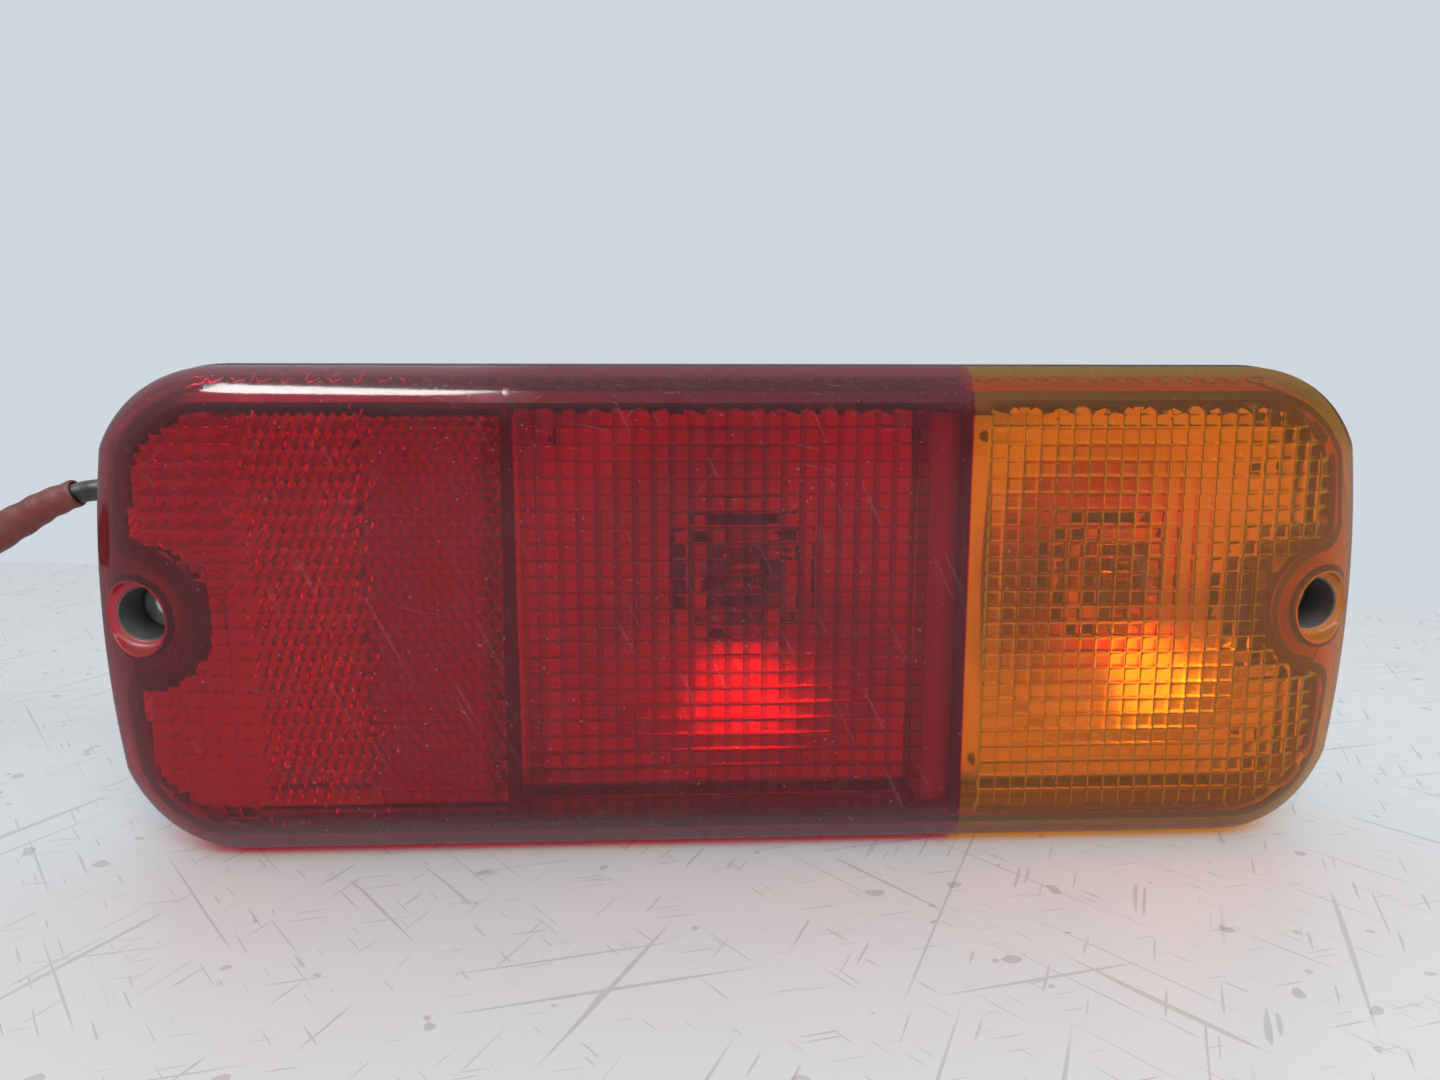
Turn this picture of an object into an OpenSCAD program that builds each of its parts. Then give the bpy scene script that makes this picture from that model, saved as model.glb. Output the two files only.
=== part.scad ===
// Rear tail light with a red reflex end, a red stop and tail section and an amber turn section.
// Millimetres. X runs along the lamp, -Y is the side the lens faces, +Z is up.
// The origin lies midway between the two mounting holes, on the rear face of the screw bosses.

/* [Lens] */
// Overall length of the lens
lens_w = 268.6; // [262:0.2:276]
// Overall height of the lens
lens_h = 101.4; // [98:0.2:106]
// Radius of the four corners seen from the front
corner_r = 29; // [26:1:32]
// Depth of the lens from its rim to its face
lens_d = 14; // [13:0.5:16]
// Wall thickness of the lens
lens_t = 2.6; // [2.2:0.1:2.8]
// Radius of the backward curve at both ends
wrap_r = 60; // [55:1:80]
// Where the backward curve starts
wrap_x = 100; // [96:1:106]

/* [Sections] */
// Position of the rib between the reflex end and the stop section
reflex_x = -48; // [-52:0.5:-46]
// Position of the joint between the red and the amber lens
joint_x = 45.3; // [44.5:0.1:46.5]
// Pitch of the optics moulded inside the lenses
optic_p = 3.35; // [3:0.05:4]

/* [Mounting] */
// Distance between the two mounting holes
hole_gap = 248; // [246:0.5:249]
// Bore of the steel sleeves, for a 5 mm screw
screw_d = 5.5; // [5.2:0.1:6.2]
// Mouth of the screw tunnel in the lens
tunnel_d = 15; // [14.8:0.1:15.2]

/* [Housing] */
// Depth of the bulb chambers behind the mounting plane
chamber_y = 14; // [14:0.5:14]
// Depth of the reflex end behind the mounting plane
shallow_y = 6; // [4:0.5:9]
// Wall thickness of the housing
wall = 2.2; // [1.8:0.1:2.4]

/* [Bulbs] */
// Position of the stop and tail bulb along the lamp
stop_x = 0; // [-4:0.5:2]
// Position of the turn bulb along the lamp
turn_x = 84; // [82:0.5:86]
// Height of both bulbs
bulb_z = 4; // [0:0.5:5]
// Radius of the bulb glass
glass_r = 12.8; // [12:0.1:13]
// Travel of a bulb when it is pressed into its holder
press = 1.8; // [1.5:0.1:1.8]

/* [Cable] */
// Outside diameter of one wire
wire_d = 1.4; // [1.1:0.1:1.4]
// Outside diameter of the black cable sheath
sheath_d = 4.9; // [4.6:0.1:5.2]

/* [Hidden] */
a0 = lens_w/2;
b0 = lens_h/2;
bulge_r = 206;             // the ends bow outwards on this radius
rim_y = -10;               // front face of the housing flange
face_y = rim_y - lens_d;   // flat front of the lens
flange_t = 2.4;
seal_t = 1.2;
hx = hole_gap/2;
boss_r = tunnel_d/2 - 0.3;
land_a = a0 - 5.1;         // outer edge of the sealing land
land_b = b0 - 4.5;
hold_y = 12;               // inner face of the rear wall behind the bulbs
aper_r = 15.5;
neck_r = aper_r - 0.08;
tab_a = 90;                // angle of the first locking tab
twist = 45;
pin_z = 28.5;
base_z = 35.2;
barrel_end = 47;
clip_x = -100;

// ---------- small helpers ----------
module front_to_back(y0, y1) translate([0, y1, 0]) rotate([90, 0, 0]) linear_extrude(y1 - y0) children();
module along(x, z) translate([x, 0, z]) rotate([-90, 0, 0]) children();   // local +Z becomes row +Y
module pipe(ro, ri, z0, z1, f=64) difference() {
  translate([0, 0, z0]) cylinder(r=ro, h=z1 - z0, $fn=f);
  translate([0, 0, z0 - 1]) cylinder(r=ri, h=z1 - z0 + 2, $fn=f);
}
module rod(r, z0, z1, f=48) translate([0, 0, z0]) cylinder(r=r, h=z1 - z0, $fn=f);
module box(x0, x1, y0, y1, z0, z1) translate([x0, y0, z0]) cube([x1 - x0, y1 - y0, z1 - z0]);

// rounded rectangle of half size a by b
module soft_rect(a, b, r) {
  square([2*(a - r), 2*b], center=true);
  square([2*a, 2*(b - r)], center=true);
  for (sx=[-1, 1], sz=[-1, 1]) translate([sx*(a - r), sz*(b - r)]) circle(r=r, $fn=96);
}
// outline of the lamp with bowed ends, grown by o
module outline(o=0) intersection() {
  soft_rect(a0 + o, b0 + o, corner_r + o);
  translate([a0 + o - bulge_r, 0]) circle(r=bulge_r, $fn=240);
  translate([bulge_r - a0 - o, 0]) circle(r=bulge_r, $fn=240);
}
// area inside the sealing line: it steps round both screw bosses; shrunk by o
module land(o=0) difference() {
  intersection() {
    soft_rect(land_a - o, land_b - o, 24 - o);
    translate([land_a - o - bulge_r, 0]) circle(r=bulge_r, $fn=240);
    translate([bulge_r - land_a + o, 0]) circle(r=bulge_r, $fn=240);
  }
  for (s=[-1, 1]) {
    translate([s*hx, 0]) circle(r=11 + o, $fn=72);
    translate([s*(hx + 8), 0]) square([16, 2*(11 + o)], center=true);
    for (t=[-1, 1]) translate([s*(land_a - 6.5 - o), t*(11 + o + 6)]) difference() {
      translate([s*3.2, -t*3.2]) square([6.6, 6.6], center=true);
      circle(r=6, $fn=48);
    }
  }
}

// ---------- sweeps along smooth paths ----------
function unit(v) = v/norm(v);
function spline(a, b, c, d, t) = 0.5*(2*b + (c - a)*t + (2*a - 5*b + 4*c - d)*t*t + (3*b - a - 3*c + d)*t*t*t);
function smooth(P, n) = [for (i=[0:len(P)-2]) for (k=[0:n-1]) spline(P[max(i-1, 0)], P[i], P[i+1], P[min(i+2, len(P)-1)], k/n), P[len(P)-1]];
function tang(P, i) = unit(P[min(i+1, len(P)-1)] - P[max(i-1, 0)]);
function side(P, i) = unit(cross(tang(P, i), [0, 0, 1]));
function over(P, i) = cross(side(P, i), tang(P, i));
function moved(P, n, b) = [for (i=[0:len(P)-1]) P[i] + n*side(P, i) + b*over(P, i)];
function ring(P, i, r, n) = [for (k=[0:n-1]) P[i] + r*cos(360*k/n)*side(P, i) + r*sin(360*k/n)*over(P, i)];
module sweep(P, r, n=10, rt=undef) {
  m = len(P);
  pts = [for (i=[0:m-1]) each ring(P, i, is_undef(rt) ? r : r + (rt - r)*i/(m-1), n)];
  polyhedron(pts, concat(
    [[for (k=[0:n-1]) k]],
    [for (i=[0:m-2]) for (k=[0:n-1]) each [[i*n+k, (i+1)*n+k, (i+1)*n+(k+1)%n], [i*n+k, (i+1)*n+(k+1)%n, i*n+(k+1)%n]]],
    [[for (k=[n-1:-1:0]) (m-1)*n + k]]));
}
module hose(P, ro, ri, n=12, rt=undef, ti=undef) {
  m = len(P);
  w = m*n;
  pts = concat([for (i=[0:m-1]) each ring(P, i, is_undef(rt) ? ro : ro + (rt - ro)*i/(m-1), n)],
               [for (i=[0:m-1]) each ring(P, i, is_undef(ti) ? ri : ri + (ti - ri)*i/(m-1), n)]);
  polyhedron(pts, concat(
    [for (i=[0:m-2]) for (k=[0:n-1]) each [[i*n+k, (i+1)*n+k, (i+1)*n+(k+1)%n], [i*n+k, (i+1)*n+(k+1)%n, i*n+(k+1)%n]]],
    [for (i=[0:m-2]) for (k=[0:n-1]) each [[w+i*n+k, w+(i+1)*n+(k+1)%n, w+(i+1)*n+k], [w+i*n+k, w+i*n+(k+1)%n, w+(i+1)*n+(k+1)%n]]],
    [for (k=[0:n-1]) each [[k, (k+1)%n, w+(k+1)%n], [k, w+(k+1)%n, w+k]]],
    [for (k=[0:n-1]) each [[(m-1)*n+k, w+(m-1)*n+(k+1)%n, (m-1)*n+(k+1)%n], [(m-1)*n+k, w+(m-1)*n+k, w+(m-1)*n+(k+1)%n]]]));
}

// ---------- lens ----------
outer_steps = [[0, 0], [0, 4.5], [0.8, 7.6], [2.4, 10.2], [4.6, 12.2], [7.2, 13.5], [10.5, 14], [22, 14], [34, 14], [b0 - 2.5, 14]];
inner_steps = [[2.4, -1.5], [2.4, 2.5], [3.0, 5.6], [4.4, 8.0], [6.4, 9.9], [8.8, 11.0], [11.5, 11.4], [22, 11.4], [34, 11.4], [b0 - 2.5, 11.4]];
function bow(x, z, a) = sign(x)*min(abs(x), a - bulge_r + sqrt(bulge_r*bulge_r - z*z));
function arc_q(a, b, r, q, n) = [for (i=[0:n]) let(t=90*q + 90*i/n, sx=(q==0||q==3) ? 1 : -1, sz=(q<2) ? 1 : -1)
  let(x=sx*(a - r) + r*cos(t), z=sz*(b - r) + r*sin(t)) [bow(x, z, a), z]];
function end_q(a, b, r, sx, F) = [for (f=F) let(z=f*(b - r)) [sx*bow(a, z, a), z]];
// one closed outline at inset d, starting in the middle of the +X end
function oval(d, n) = let(a=a0 - d, b=b0 - d, r=max(corner_r - d, 0.8))
  concat(end_q(a, b, r, 1, [0.25, 0.7]), arc_q(a, b, r, 0, n), arc_q(a, b, r, 1, n), end_q(a, b, r, -1, [0.7, 0.25, -0.25, -0.7]),
         arc_q(a, b, r, 2, n), arc_q(a, b, r, 3, n), end_q(a, b, r, 1, [-0.7, -0.25]));
function wrap(x) = let(u=max(abs(x) - wrap_x, 0)) wrap_r - sqrt(wrap_r*wrap_r - u*u);
module loft(steps, top) {
  n = 11;
  m = 4*(n + 1) + 8;
  k = len(steps);
  s = lens_d/14;
  pts = [for (l=steps) for (p=oval(l[0], n)) [p[0], rim_y - 0.2 - l[1]*s + wrap(p[0])*max(l[1], 0)/top, p[1]]];
  polyhedron(pts, concat(
    [for (i=[0:k-2]) for (j=[0:m-1]) each [[i*m+j, (i+1)*m+(j+1)%m, i*m+(j+1)%m], [i*m+j, (i+1)*m+j, (i+1)*m+(j+1)%m]]],
    [for (j=[0:m/2-2]) each [[(k-1)*m+j, (k-1)*m+m-2-j, (k-1)*m+j+1], [(k-1)*m+j, (k-1)*m+m-1-j, (k-1)*m+m-2-j]]],
    [for (j=[0:m/2-2]) each [[j, j+1, m-2-j], [j, m-2-j, m-1-j]]]));
}
// vertical flutes from x0 to x1, rooted in the lens wall
module flutes(x0, x1, h) {
  n = floor((x1 - x0)/optic_p);
  y = face_y + lens_t;
  translate([0, 0, -h]) linear_extrude(2*h) polygon(concat([[x0, y - 0.4]],
    [for (i=[0:n-1]) each [[x0 + i*optic_p, y + 0.3], [x0 + (i + 0.35)*optic_p, y + 1.25], [x0 + (i + 0.8)*optic_p, y + 1.25]]],
    [[x0 + n*optic_p, y + 0.3], [x0 + n*optic_p, y - 0.4]]));
}
module lens_whole() difference() {
  loft(outer_steps, 14);
  difference() {
    loft(inner_steps, 11.4);
    front_to_back(face_y, rim_y - seal_t) difference() { land(1.1); land(3.3); }
    for (s=[-1, 1]) along(s*hx, 0) rod(tunnel_d/2 + 1.6, face_y, rim_y - seal_t, 64);
    box(reflex_x - 1.1, reflex_x + 1.1, face_y, rim_y - seal_t, -land_b + 2, land_b - 2);
    box(joint_x - 1.2, joint_x + 1.2, face_y, rim_y - seal_t, -land_b + 2, land_b - 2);
    flutes(reflex_x + 3.2, joint_x - 1.5, land_b - 4.6);
    flutes(joint_x + 4, wrap_x + 6, land_b - 4.6);
  }
  for (s=[-1, 1]) along(s*hx, 0) rod(tunnel_d/2, face_y - 1, rim_y + 1, 64);
}
module red_lens() color([0.6, 0.03, 0.06]) intersection() {
  lens_whole();
  box(-a0 - 5, joint_x, face_y - 5, rim_y + 5, -b0 - 5, b0 + 5);
}
module amber_lens() color([0.95, 0.5, 0.05]) intersection() {
  lens_whole();
  box(joint_x, a0 + 5, face_y - 5, rim_y + 5, -b0 - 5, b0 + 5);
}
module lens_seal() color([0.12, 0.1, 0.11]) front_to_back(rim_y - seal_t, rim_y) difference() { land(0.5); land(3.7); }

// ---------- housing ----------
module bulb_seats() for (x=[stop_x, turn_x]) along(x, bulb_z) {
  rod(aper_r, hold_y - 4, chamber_y + 4, 96);
  for (k=[0:2]) rotate(tab_a - twist + 120*k) translate([0, -3.9, hold_y - 4]) cube([18.1, 7.8, 8]);
}
posts = [[-40, 36], [37, 36], [-40, -36], [37, -36], [52, 36], [52, -36], [112, 30], [112, -30]];
shallow_posts = [[-92, 34], [-56, 34], [-92, -34], [-56, -34]];
vents = [[-28, -35], [62, -36]];
module rear_housing() color([0.33, 0.34, 0.35]) difference() {
  union() {
    front_to_back(rim_y, rim_y + flange_t) difference() { outline(0.5); land(4); }
    difference() {
      front_to_back(rim_y + 1, chamber_y) land(4 - wall);
      front_to_back(rim_y - 1, hold_y) land(4);
      box(-a0, reflex_x - 2.2, shallow_y, chamber_y + 1, -b0, b0);
    }
    difference() {
      front_to_back(rim_y + 1, shallow_y) land(4 - wall);
      front_to_back(rim_y - 1, shallow_y - 2) land(4);
      box(reflex_x, a0, -30, 30, -b0, b0);
    }
    intersection() {
      front_to_back(rim_y, chamber_y) land(3);
      union() {
        box(reflex_x - 2.2, reflex_x, rim_y, chamber_y, -b0, b0);
        box(joint_x - 1.1, joint_x + 1.1, rim_y, chamber_y, -b0, b0);
      }
    }
    for (s=[-1, 1]) along(s*hx, 0) rod(boss_r, rim_y - 4, 0, 64);
    for (s=[-1, 1], t=[-1, 1]) box(s*hx - 1, s*hx + 1, rim_y + 1, -1, min(t*6, t*13), max(t*6, t*13));
    for (p=posts) along(p[0], p[1]) { rod(2.6, rim_y + 2.1, hold_y + 1, 32); rod(1.15, rim_y - 0.6, hold_y, 32); }
    for (p=shallow_posts) along(p[0], p[1]) rod(2.6, rim_y - 2, shallow_y - 1, 32);
    for (v=vents) along(v[0], v[1]) rod(3, chamber_y - 1, chamber_y + 6, 32);
    for (x=[stop_x, turn_x]) along(x, bulb_z) pipe(24, 22.2, chamber_y - 1, chamber_y + 3, 96);
    for (z=[-30, 30]) box(reflex_x - 56, reflex_x - 1, shallow_y - 1, shallow_y + 1.6, z - 0.9, z + 0.9);
    box(clip_x - 6, clip_x + 6, shallow_y - 1, shallow_y + 2, 15, 33);
  }
  for (s=[-1, 1]) along(s*hx, 0) { rod(5.5, rim_y - 5, -3, 64); rod(4.05, -4, 1, 48); }
  bulb_seats();
  for (v=vents) along(v[0], v[1]) rod(1.5, hold_y - 2, chamber_y + 8, 32);
}
module mounting_gasket() color([0.1, 0.1, 0.1]) front_to_back(rim_y + flange_t, rim_y + flange_t + 3) difference() {
  outline(-1.2);
  land(4 - wall - 0.5);
  for (s=[-1, 1]) translate([s*hx, 0]) circle(r=boss_r + 0.4, $fn=64);
  for (s=[-1, 1]) translate([s*hx, 0]) square([2.6, 27], center=true);
}
module screw_sleeves() color([0.7, 0.72, 0.7]) for (s=[-1, 1]) along(s*hx, 0) difference() {
  union() { rod(4, -3.5, 0); rod(5.3, -3.9, -3); }
  rod(screw_d/2, -6, 2);
}
module vent_elbows() color([0.08, 0.08, 0.08]) for (v=vents) along(v[0], v[1]) difference() {
  union() { rod(4.4, chamber_y + 0.6, chamber_y + 10); translate([0, 0, chamber_y + 8]) rotate([-90, 0, 0]) rod(2.6, 0, 9, 32); }
  rod(3.02, chamber_y, chamber_y + 6.2);
  rod(1.7, chamber_y + 5, chamber_y + 8.6);
  translate([0, 0, chamber_y + 8]) rotate([-90, 0, 0]) rod(1.5, 0, 10, 32);
}

// ---------- reflectors ----------
module bowl_shape(x0, x1, f, xc) {
  top = rim_y + 0.6;
  vtx = 8;
  r1 = sqrt(4*f*(vtx - top));
  n = 9;
  plate = 1.5;
  difference() {
    union() {
      front_to_back(top, top + plate) intersection() { land(5); translate([x0, -b0]) square([x1 - x0, 2*b0]); }
      intersection() {
        along(xc, bulb_z) rotate_extrude($fn=96) polygon(concat(
          [for (i=[0:n]) let(r=16 + (r1 - 16)*i/n) [r, vtx - r*r/(4*f)]],
          [for (i=[n:-1:0]) let(r=16 + (r1 - 16)*i/n) [r + 0.5, vtx - r*r/(4*f) + plate]]));
        front_to_back(top, vtx + 4) land(5);
      }
    }
    along(xc, bulb_z) rotate_extrude($fn=96) polygon(concat([[0, top - 3], [0, vtx]],
      [for (i=[0:n]) let(r=15.5 + (r1 - 15.5)*i/n) [r, vtx - r*r/(4*f)]], [[r1, top - 3]]));
    for (p=posts) if (p[0] > x0 && p[0] < x1) along(p[0], p[1]) rod(1.25, top - 1, top + 3, 32);
    box(-a0 - 5, x0, -40, 40, -b0, b0);
    box(x1, a0 + 20, -40, 40, -b0, b0);
  }
}
module stop_reflector() color([0.8, 0.8, 0.82]) bowl_shape(reflex_x + 0.6, joint_x - 1.6, 18, stop_x);
module turn_reflector() color([0.8, 0.8, 0.82]) bowl_shape(joint_x + 1.6, a0, 14, turn_x);

// ---------- reflex end ----------
module reflex_area(o) intersection() { land(5.2 + o); translate([-112 + o, -b0]) square([reflex_x - 1.6 + 112 - 2*o, 2*b0]); }
module reflex_prism_panel() color([0.7, 0.02, 0.05]) {
  y = face_y + lens_t;
  front_to_back(y + 2.4, y + 4.6) reflex_area(0);
  intersection() {
    front_to_back(y + 4, y + 8) reflex_area(3);
    translate([-112, y + 4.4, 0]) rotate([0, 90, 0]) linear_extrude(64) polygon(concat([[-b0, 0]],
      [for (i=[0:29]) each [[-b0 + i*3.35, 0.2], [-b0 + (i + 0.5)*3.35, 1.6]]], [[-b0 + 30*3.35, 0.2], [-b0 + 30*3.35, 0]]));
  }
  for (p=[[-96, 32], [-54, 32], [-96, -32], [-54, -32]]) along(p[0], p[1]) rod(1.6, y + 0.2, y + 3, 32);
}
module reflex_backing_plate() color([0.85, 0.85, 0.83]) {
  y = face_y + lens_t;
  front_to_back(y + 4.6, rim_y - 2) difference() { reflex_area(0); reflex_area(1.6); }
  front_to_back(rim_y - 3.6, rim_y - 2) reflex_area(0.4);
}

// ---------- bulb holder ----------
module holder(x, slotted) along(x, bulb_z) difference() {
  union() {
    pipe(neck_r, 13.4, hold_y - 3.2, 17, 96);
    rod(21, 16.05, 18.4, 96);
    rod(12.2, 17, barrel_end, 64);
    rod(10.6, 14.2, 18, 64);
    for (k=[0:2]) rotate(tab_a + 120*k) intersection() { translate([13.8, -3.5, hold_y - 3]) cube([5, 7, 2.9]); rod(17.8, hold_y - 3, hold_y - 0.1, 96); }
    for (k=[0, 180]) rotate(k) translate([11, -1.8, 18]) cube([8.5, 3.6, 20]);
    for (k=[0:5]) rotate(30 + 60*k) translate([10, -0.8, 13]) cube([4, 1.6, 4]);
  }
  difference() {
    rod(8.95, 10, barrel_end - 2, 64);
    for (k=[70, 110, 250, 290]) rotate(k) translate([8.16, -0.9, 16.4]) cube([2, 1.8, 25.6]);
  }
  rod(3.2, barrel_end - 4, barrel_end + 1);
}
module holder_seal(x) along(x, bulb_z) pipe(19.6, neck_r + 0.05, chamber_y + 0.03, 16.02, 96);
module holder_boot(x) along(x, bulb_z) difference() {
  union() { rod(13.6, barrel_end - 8.5, barrel_end + 1, 64); translate([0, 0, barrel_end + 1]) cylinder(r1=13.6, r2=7, h=2.4, $fn=64); rod(4.6, barrel_end + 2, barrel_end + 6); }
  rod(12.24, barrel_end - 10, barrel_end + 0.03, 64);
  rod(3.4, barrel_end - 1, barrel_end + 7);
}
// pocket, cross channel and entry of one bayonet slot; p is the pin height
module bayonet_slot(p) {
  translate([5, -1.2, p - 1.1]) cube([5, 2.4, press + 2.3]);
  translate([0, 0, p + press - 1.15]) linear_extrude(2.5) polygon([for (c=[[5, 3], [12, 3], [12, -24], [5, -24]]) [c[0]*cos(c[1]), c[0]*sin(c[1])]]);
  rotate(-28) translate([5, -1.25, 10]) cube([5, 2.5, p + press + 1.05 - 10]);
}
module socket_shell(x, pins) color([0.75, 0.73, 0.62]) along(x, bulb_z) difference() {
  rotate(70) union() { rod(8.12, 19, 43, 64); rod(8.9, 42.2, 43, 64); }
  rotate(70) rod(7.58, 15, 45, 64);
  for (p=pins) rotate(p[0]) bayonet_slot(p[1]);
}
module contact_disc(x, holes) along(x, bulb_z) difference() {
  rod(7.4, base_z + 1.1, base_z + 3.1, 64);
  for (h=holes) translate([h, 0, 0]) rod(1.42, base_z, base_z + 4, 32);
}
module contacts(x, holes) along(x, bulb_z) for (h=holes) translate([h, 0, 0]) {
  rod(1.4, base_z + 1.02, base_z + 3.3, 32);
  rod(1.9, base_z + 3.12, base_z + 3.7, 32);
  rod(0.8, base_z + 3.5, base_z + 6, 24);
}
module contact_spring(x) along(x, bulb_z) {
  z0 = base_z + 3.12 + 0.36;
  z1 = barrel_end - 2 - 0.37;
  turns = 4;
  n = 18;
  sweep([for (i=[0:turns*n]) let(a=360*i/n) [5.9*cos(a), 5.9*sin(a), z0 + (z1 - z0)*i/(turns*n)]], 0.35, 6);
}

// ---------- bulb ----------
module bulb_glass(x) color([0.9, 0.9, 0.9, 0.4]) along(x, bulb_z) difference() {
  union() { translate([0, 0, -1]) sphere(r=glass_r, $fn=64); translate([0, 0, 3]) cylinder(r1=11.9, r2=6.95, h=14, $fn=64); rod(6.95, 16.9, 21, 64); }
  union() { translate([0, 0, -1]) sphere(r=glass_r - 0.8, $fn=64); translate([0, 0, 3]) cylinder(r1=11.0, r2=6.2, h=14, $fn=64); rod(6.2, 16.9, 20, 64); }
}
module bulb_cap(x, pins) color([0.8, 0.7, 0.4]) along(x, bulb_z) {
  difference() { rod(7.5, 17.4, base_z - 0.6, 64); rod(7.02, 16, base_z - 2.6, 64); rod(6.4, 20, base_z + 1, 64); }
  for (p=pins) rotate(p[0]) translate([0, 0, p[1]]) rotate([0, 90, 0]) rod(1, 7.2, 8.75, 32);
}
module bulb_insulator(x) color([0.06, 0.06, 0.08]) along(x, bulb_z) { rod(6.36, base_z - 2.5, base_z - 0.5, 48); translate([0, 0, base_z - 0.55]) cylinder(r1=6.3, r2=4.8, h=0.55, $fn=48); }
module bulb_tips(x, holes) color([0.75, 0.75, 0.76]) along(x, bulb_z) for (h=holes) translate([h, 0, base_z]) { cylinder(r1=1.8, r2=1.4, h=0.5, $fn=32); translate([0, 0, 0.5]) cylinder(r1=1.4, r2=0.9, h=0.45, $fn=32); }
module bulb_stem(x) color([0.85, 0.88, 0.88, 0.5]) along(x, bulb_z) difference() {
  union() { rod(2.6, 11, 19.9, 32); translate([0, 0, 17.5]) cylinder(r1=2.6, r2=5.8, h=2.4, $fn=48); }
  for (s=[-1, 1], y=[-1, 1]) translate([s*1.2, y*1.2, 0]) rod(0.4, 10, 21, 24);
}
// one pair of lead wires: up through the stem, out sideways and on to the filament
module lead_pair(w, y, zf) for (s=[-1, 1]) {
  translate([s*1.2, sign(y)*1.2, 0]) rod(0.3, 9.4, 19.8, 24);
  translate([s*1.2, sign(y)*1.2, 9.4]) sphere(r=0.36, $fn=24);
  translate([s*w, y, 0]) rod(0.28, zf - 0.3, 9.4 - 1.2, 24);
  translate([s*w, y, 9.4 - 1.2]) sphere(r=0.36, $fn=24);
  p = [s*1.2, sign(y)*1.2, 9.4];
  q = [s*w, y, 8.2];
  d = q - p;
  translate(p) rotate([0, acos(d[2]/norm(d)), atan2(d[1], d[0])]) rod(0.28, 0, norm(d), 24);
}
module filament(x, w, y, z) color([0.5, 0.5, 0.52]) along(x, bulb_z) translate([0, y, z]) rotate([0, 90, 0]) {
  rod(0.22, -w + 0.3, w - 0.3, 24);
  for (i=[-4:4]) rod(0.5, i*0.62 - 0.18, i*0.62 + 0.18, 24);
}

// ---------- cable ----------
// centre line of the black sheath and of the sleeve behind it
sheath_path = smooth([[-48, 40, 24], [-62, 32, 24.3], [-78, 21, 24.6], [-90, 17.2, 24.5], [clip_x, 16.5, 24.3], [-110, 16.3, 24], [-124, 16, 23.6], [-138, 15.5, 23.2], [-148, 15, 22.6], [-156, 14.4, 20.6]], 4);
sleeve_path = smooth([[-151.5, 14.8, 22.1], [-158, 14.2, 19.4], [-165, 13.4, 15.4], [-174, 12.6, 10.4], [-184, 12, 7.2]], 4);
turn_run = [[turn_x, 47.2, bulb_z], [turn_x, 52, bulb_z], [turn_x - 6, 57.5, bulb_z + 1.5], [64, 58, 10], [44, 56, 17], [22, 52, 22.5], [0, 48, 25], [-22, 45, 25.4]];
stop_run = [[stop_x, 47.2, bulb_z], [stop_x, 52, bulb_z], [stop_x - 6, 57.5, bulb_z + 1.2], [-20, 54, 10], [-34, 47, 17.5]];
tail_run = [[-156, 14.4, 20.6], [-165, 13.4, 15.4], [-174, 12.6, 10.4], [-184, 12, 7.2], [-192, 12, 6.2], [-196, 12, 6], [-200, 12, 6]];
core = [for (i=[0:len(sheath_path)-1]) sheath_path[i]];
o1 = wire_d/2 + 0.04;
function quad(k) = k==0 ? [o1, o1] : k==1 ? [-o1, o1] : k==2 ? [o1, -o1] : [-o1, -o1];
pin_pos = [[2.6, 2.6], [-2.6, 2.6], [2.6, -2.6], [-2.6, -2.6]];
// a wire from one holder, through the sheath and sleeve, to cavity k of the connector
module wire(run, k, n0, b0) {
  head = smooth(concat(run, [core[0]]), 4);
  lead = [for (i=[0:len(head)-2]) head[i]];
  back = smooth(tail_run, 4);
  rest = [for (i=[1:len(back)-1]) back[i]];
  whole = concat(lead, core, rest);
  nl = len(lead);
  nw = len(whole);
  nc = nl + len(core);
  ns = len(rest);
  P = [for (i=[0:nw-1])
    let(u = i < nl ? i/nl : 1, v = i < nw - 9 ? 0 : (i - nw + 9)/8,
        n = (n0 + (quad(k)[0] - n0)*u)*(1 - v) + pin_pos[k][0]*v,
        b = (b0 + (quad(k)[1] - b0)*u)*(1 - v) + pin_pos[k][1]*v)
    whole[i] + n*side(whole, i) + b*over(whole, i)];
  sweep(P, wire_d/2, 7);
}
module cable_sheath() color([0.06, 0.06, 0.06]) hose(core, sheath_d/2, 1.82, 12);
module red_sleeve() color([0.5, 0.14, 0.12]) hose(sleeve_path, 3.5, 2.75, 14, 4.4, 3.6);
module sheath_grommet() color([0.07, 0.07, 0.07]) {
  P = [for (i=[1:6]) core[i]];
  hose(P, sheath_d/2 + 1.1, sheath_d/2 + 0.06, 16);
}
module cable_clip() color([0.12, 0.12, 0.12]) difference() {
  union() {
    translate([clip_x, 16.5, 24.35]) rotate([0, 90, 0]) translate([0, 0, -4]) cylinder(r=4.3, h=8, $fn=48);
    box(clip_x - 4, clip_x + 4, shallow_y + 2, 14, 21.6, 27.1);
    box(clip_x - 5, clip_x + 5, shallow_y + 2, shallow_y + 3.6, 18, 31);
  }
  translate([clip_x, 16.5, 24.35]) rotate([0, 90, 0]) translate([0, 0, -6]) cylinder(r=sheath_d/2 + 0.35, h=12, $fn=48);
  box(clip_x - 6, clip_x + 6, 16.5, 24, 24.35 - 1.6, 24.35 + 1.6);
}

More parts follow.
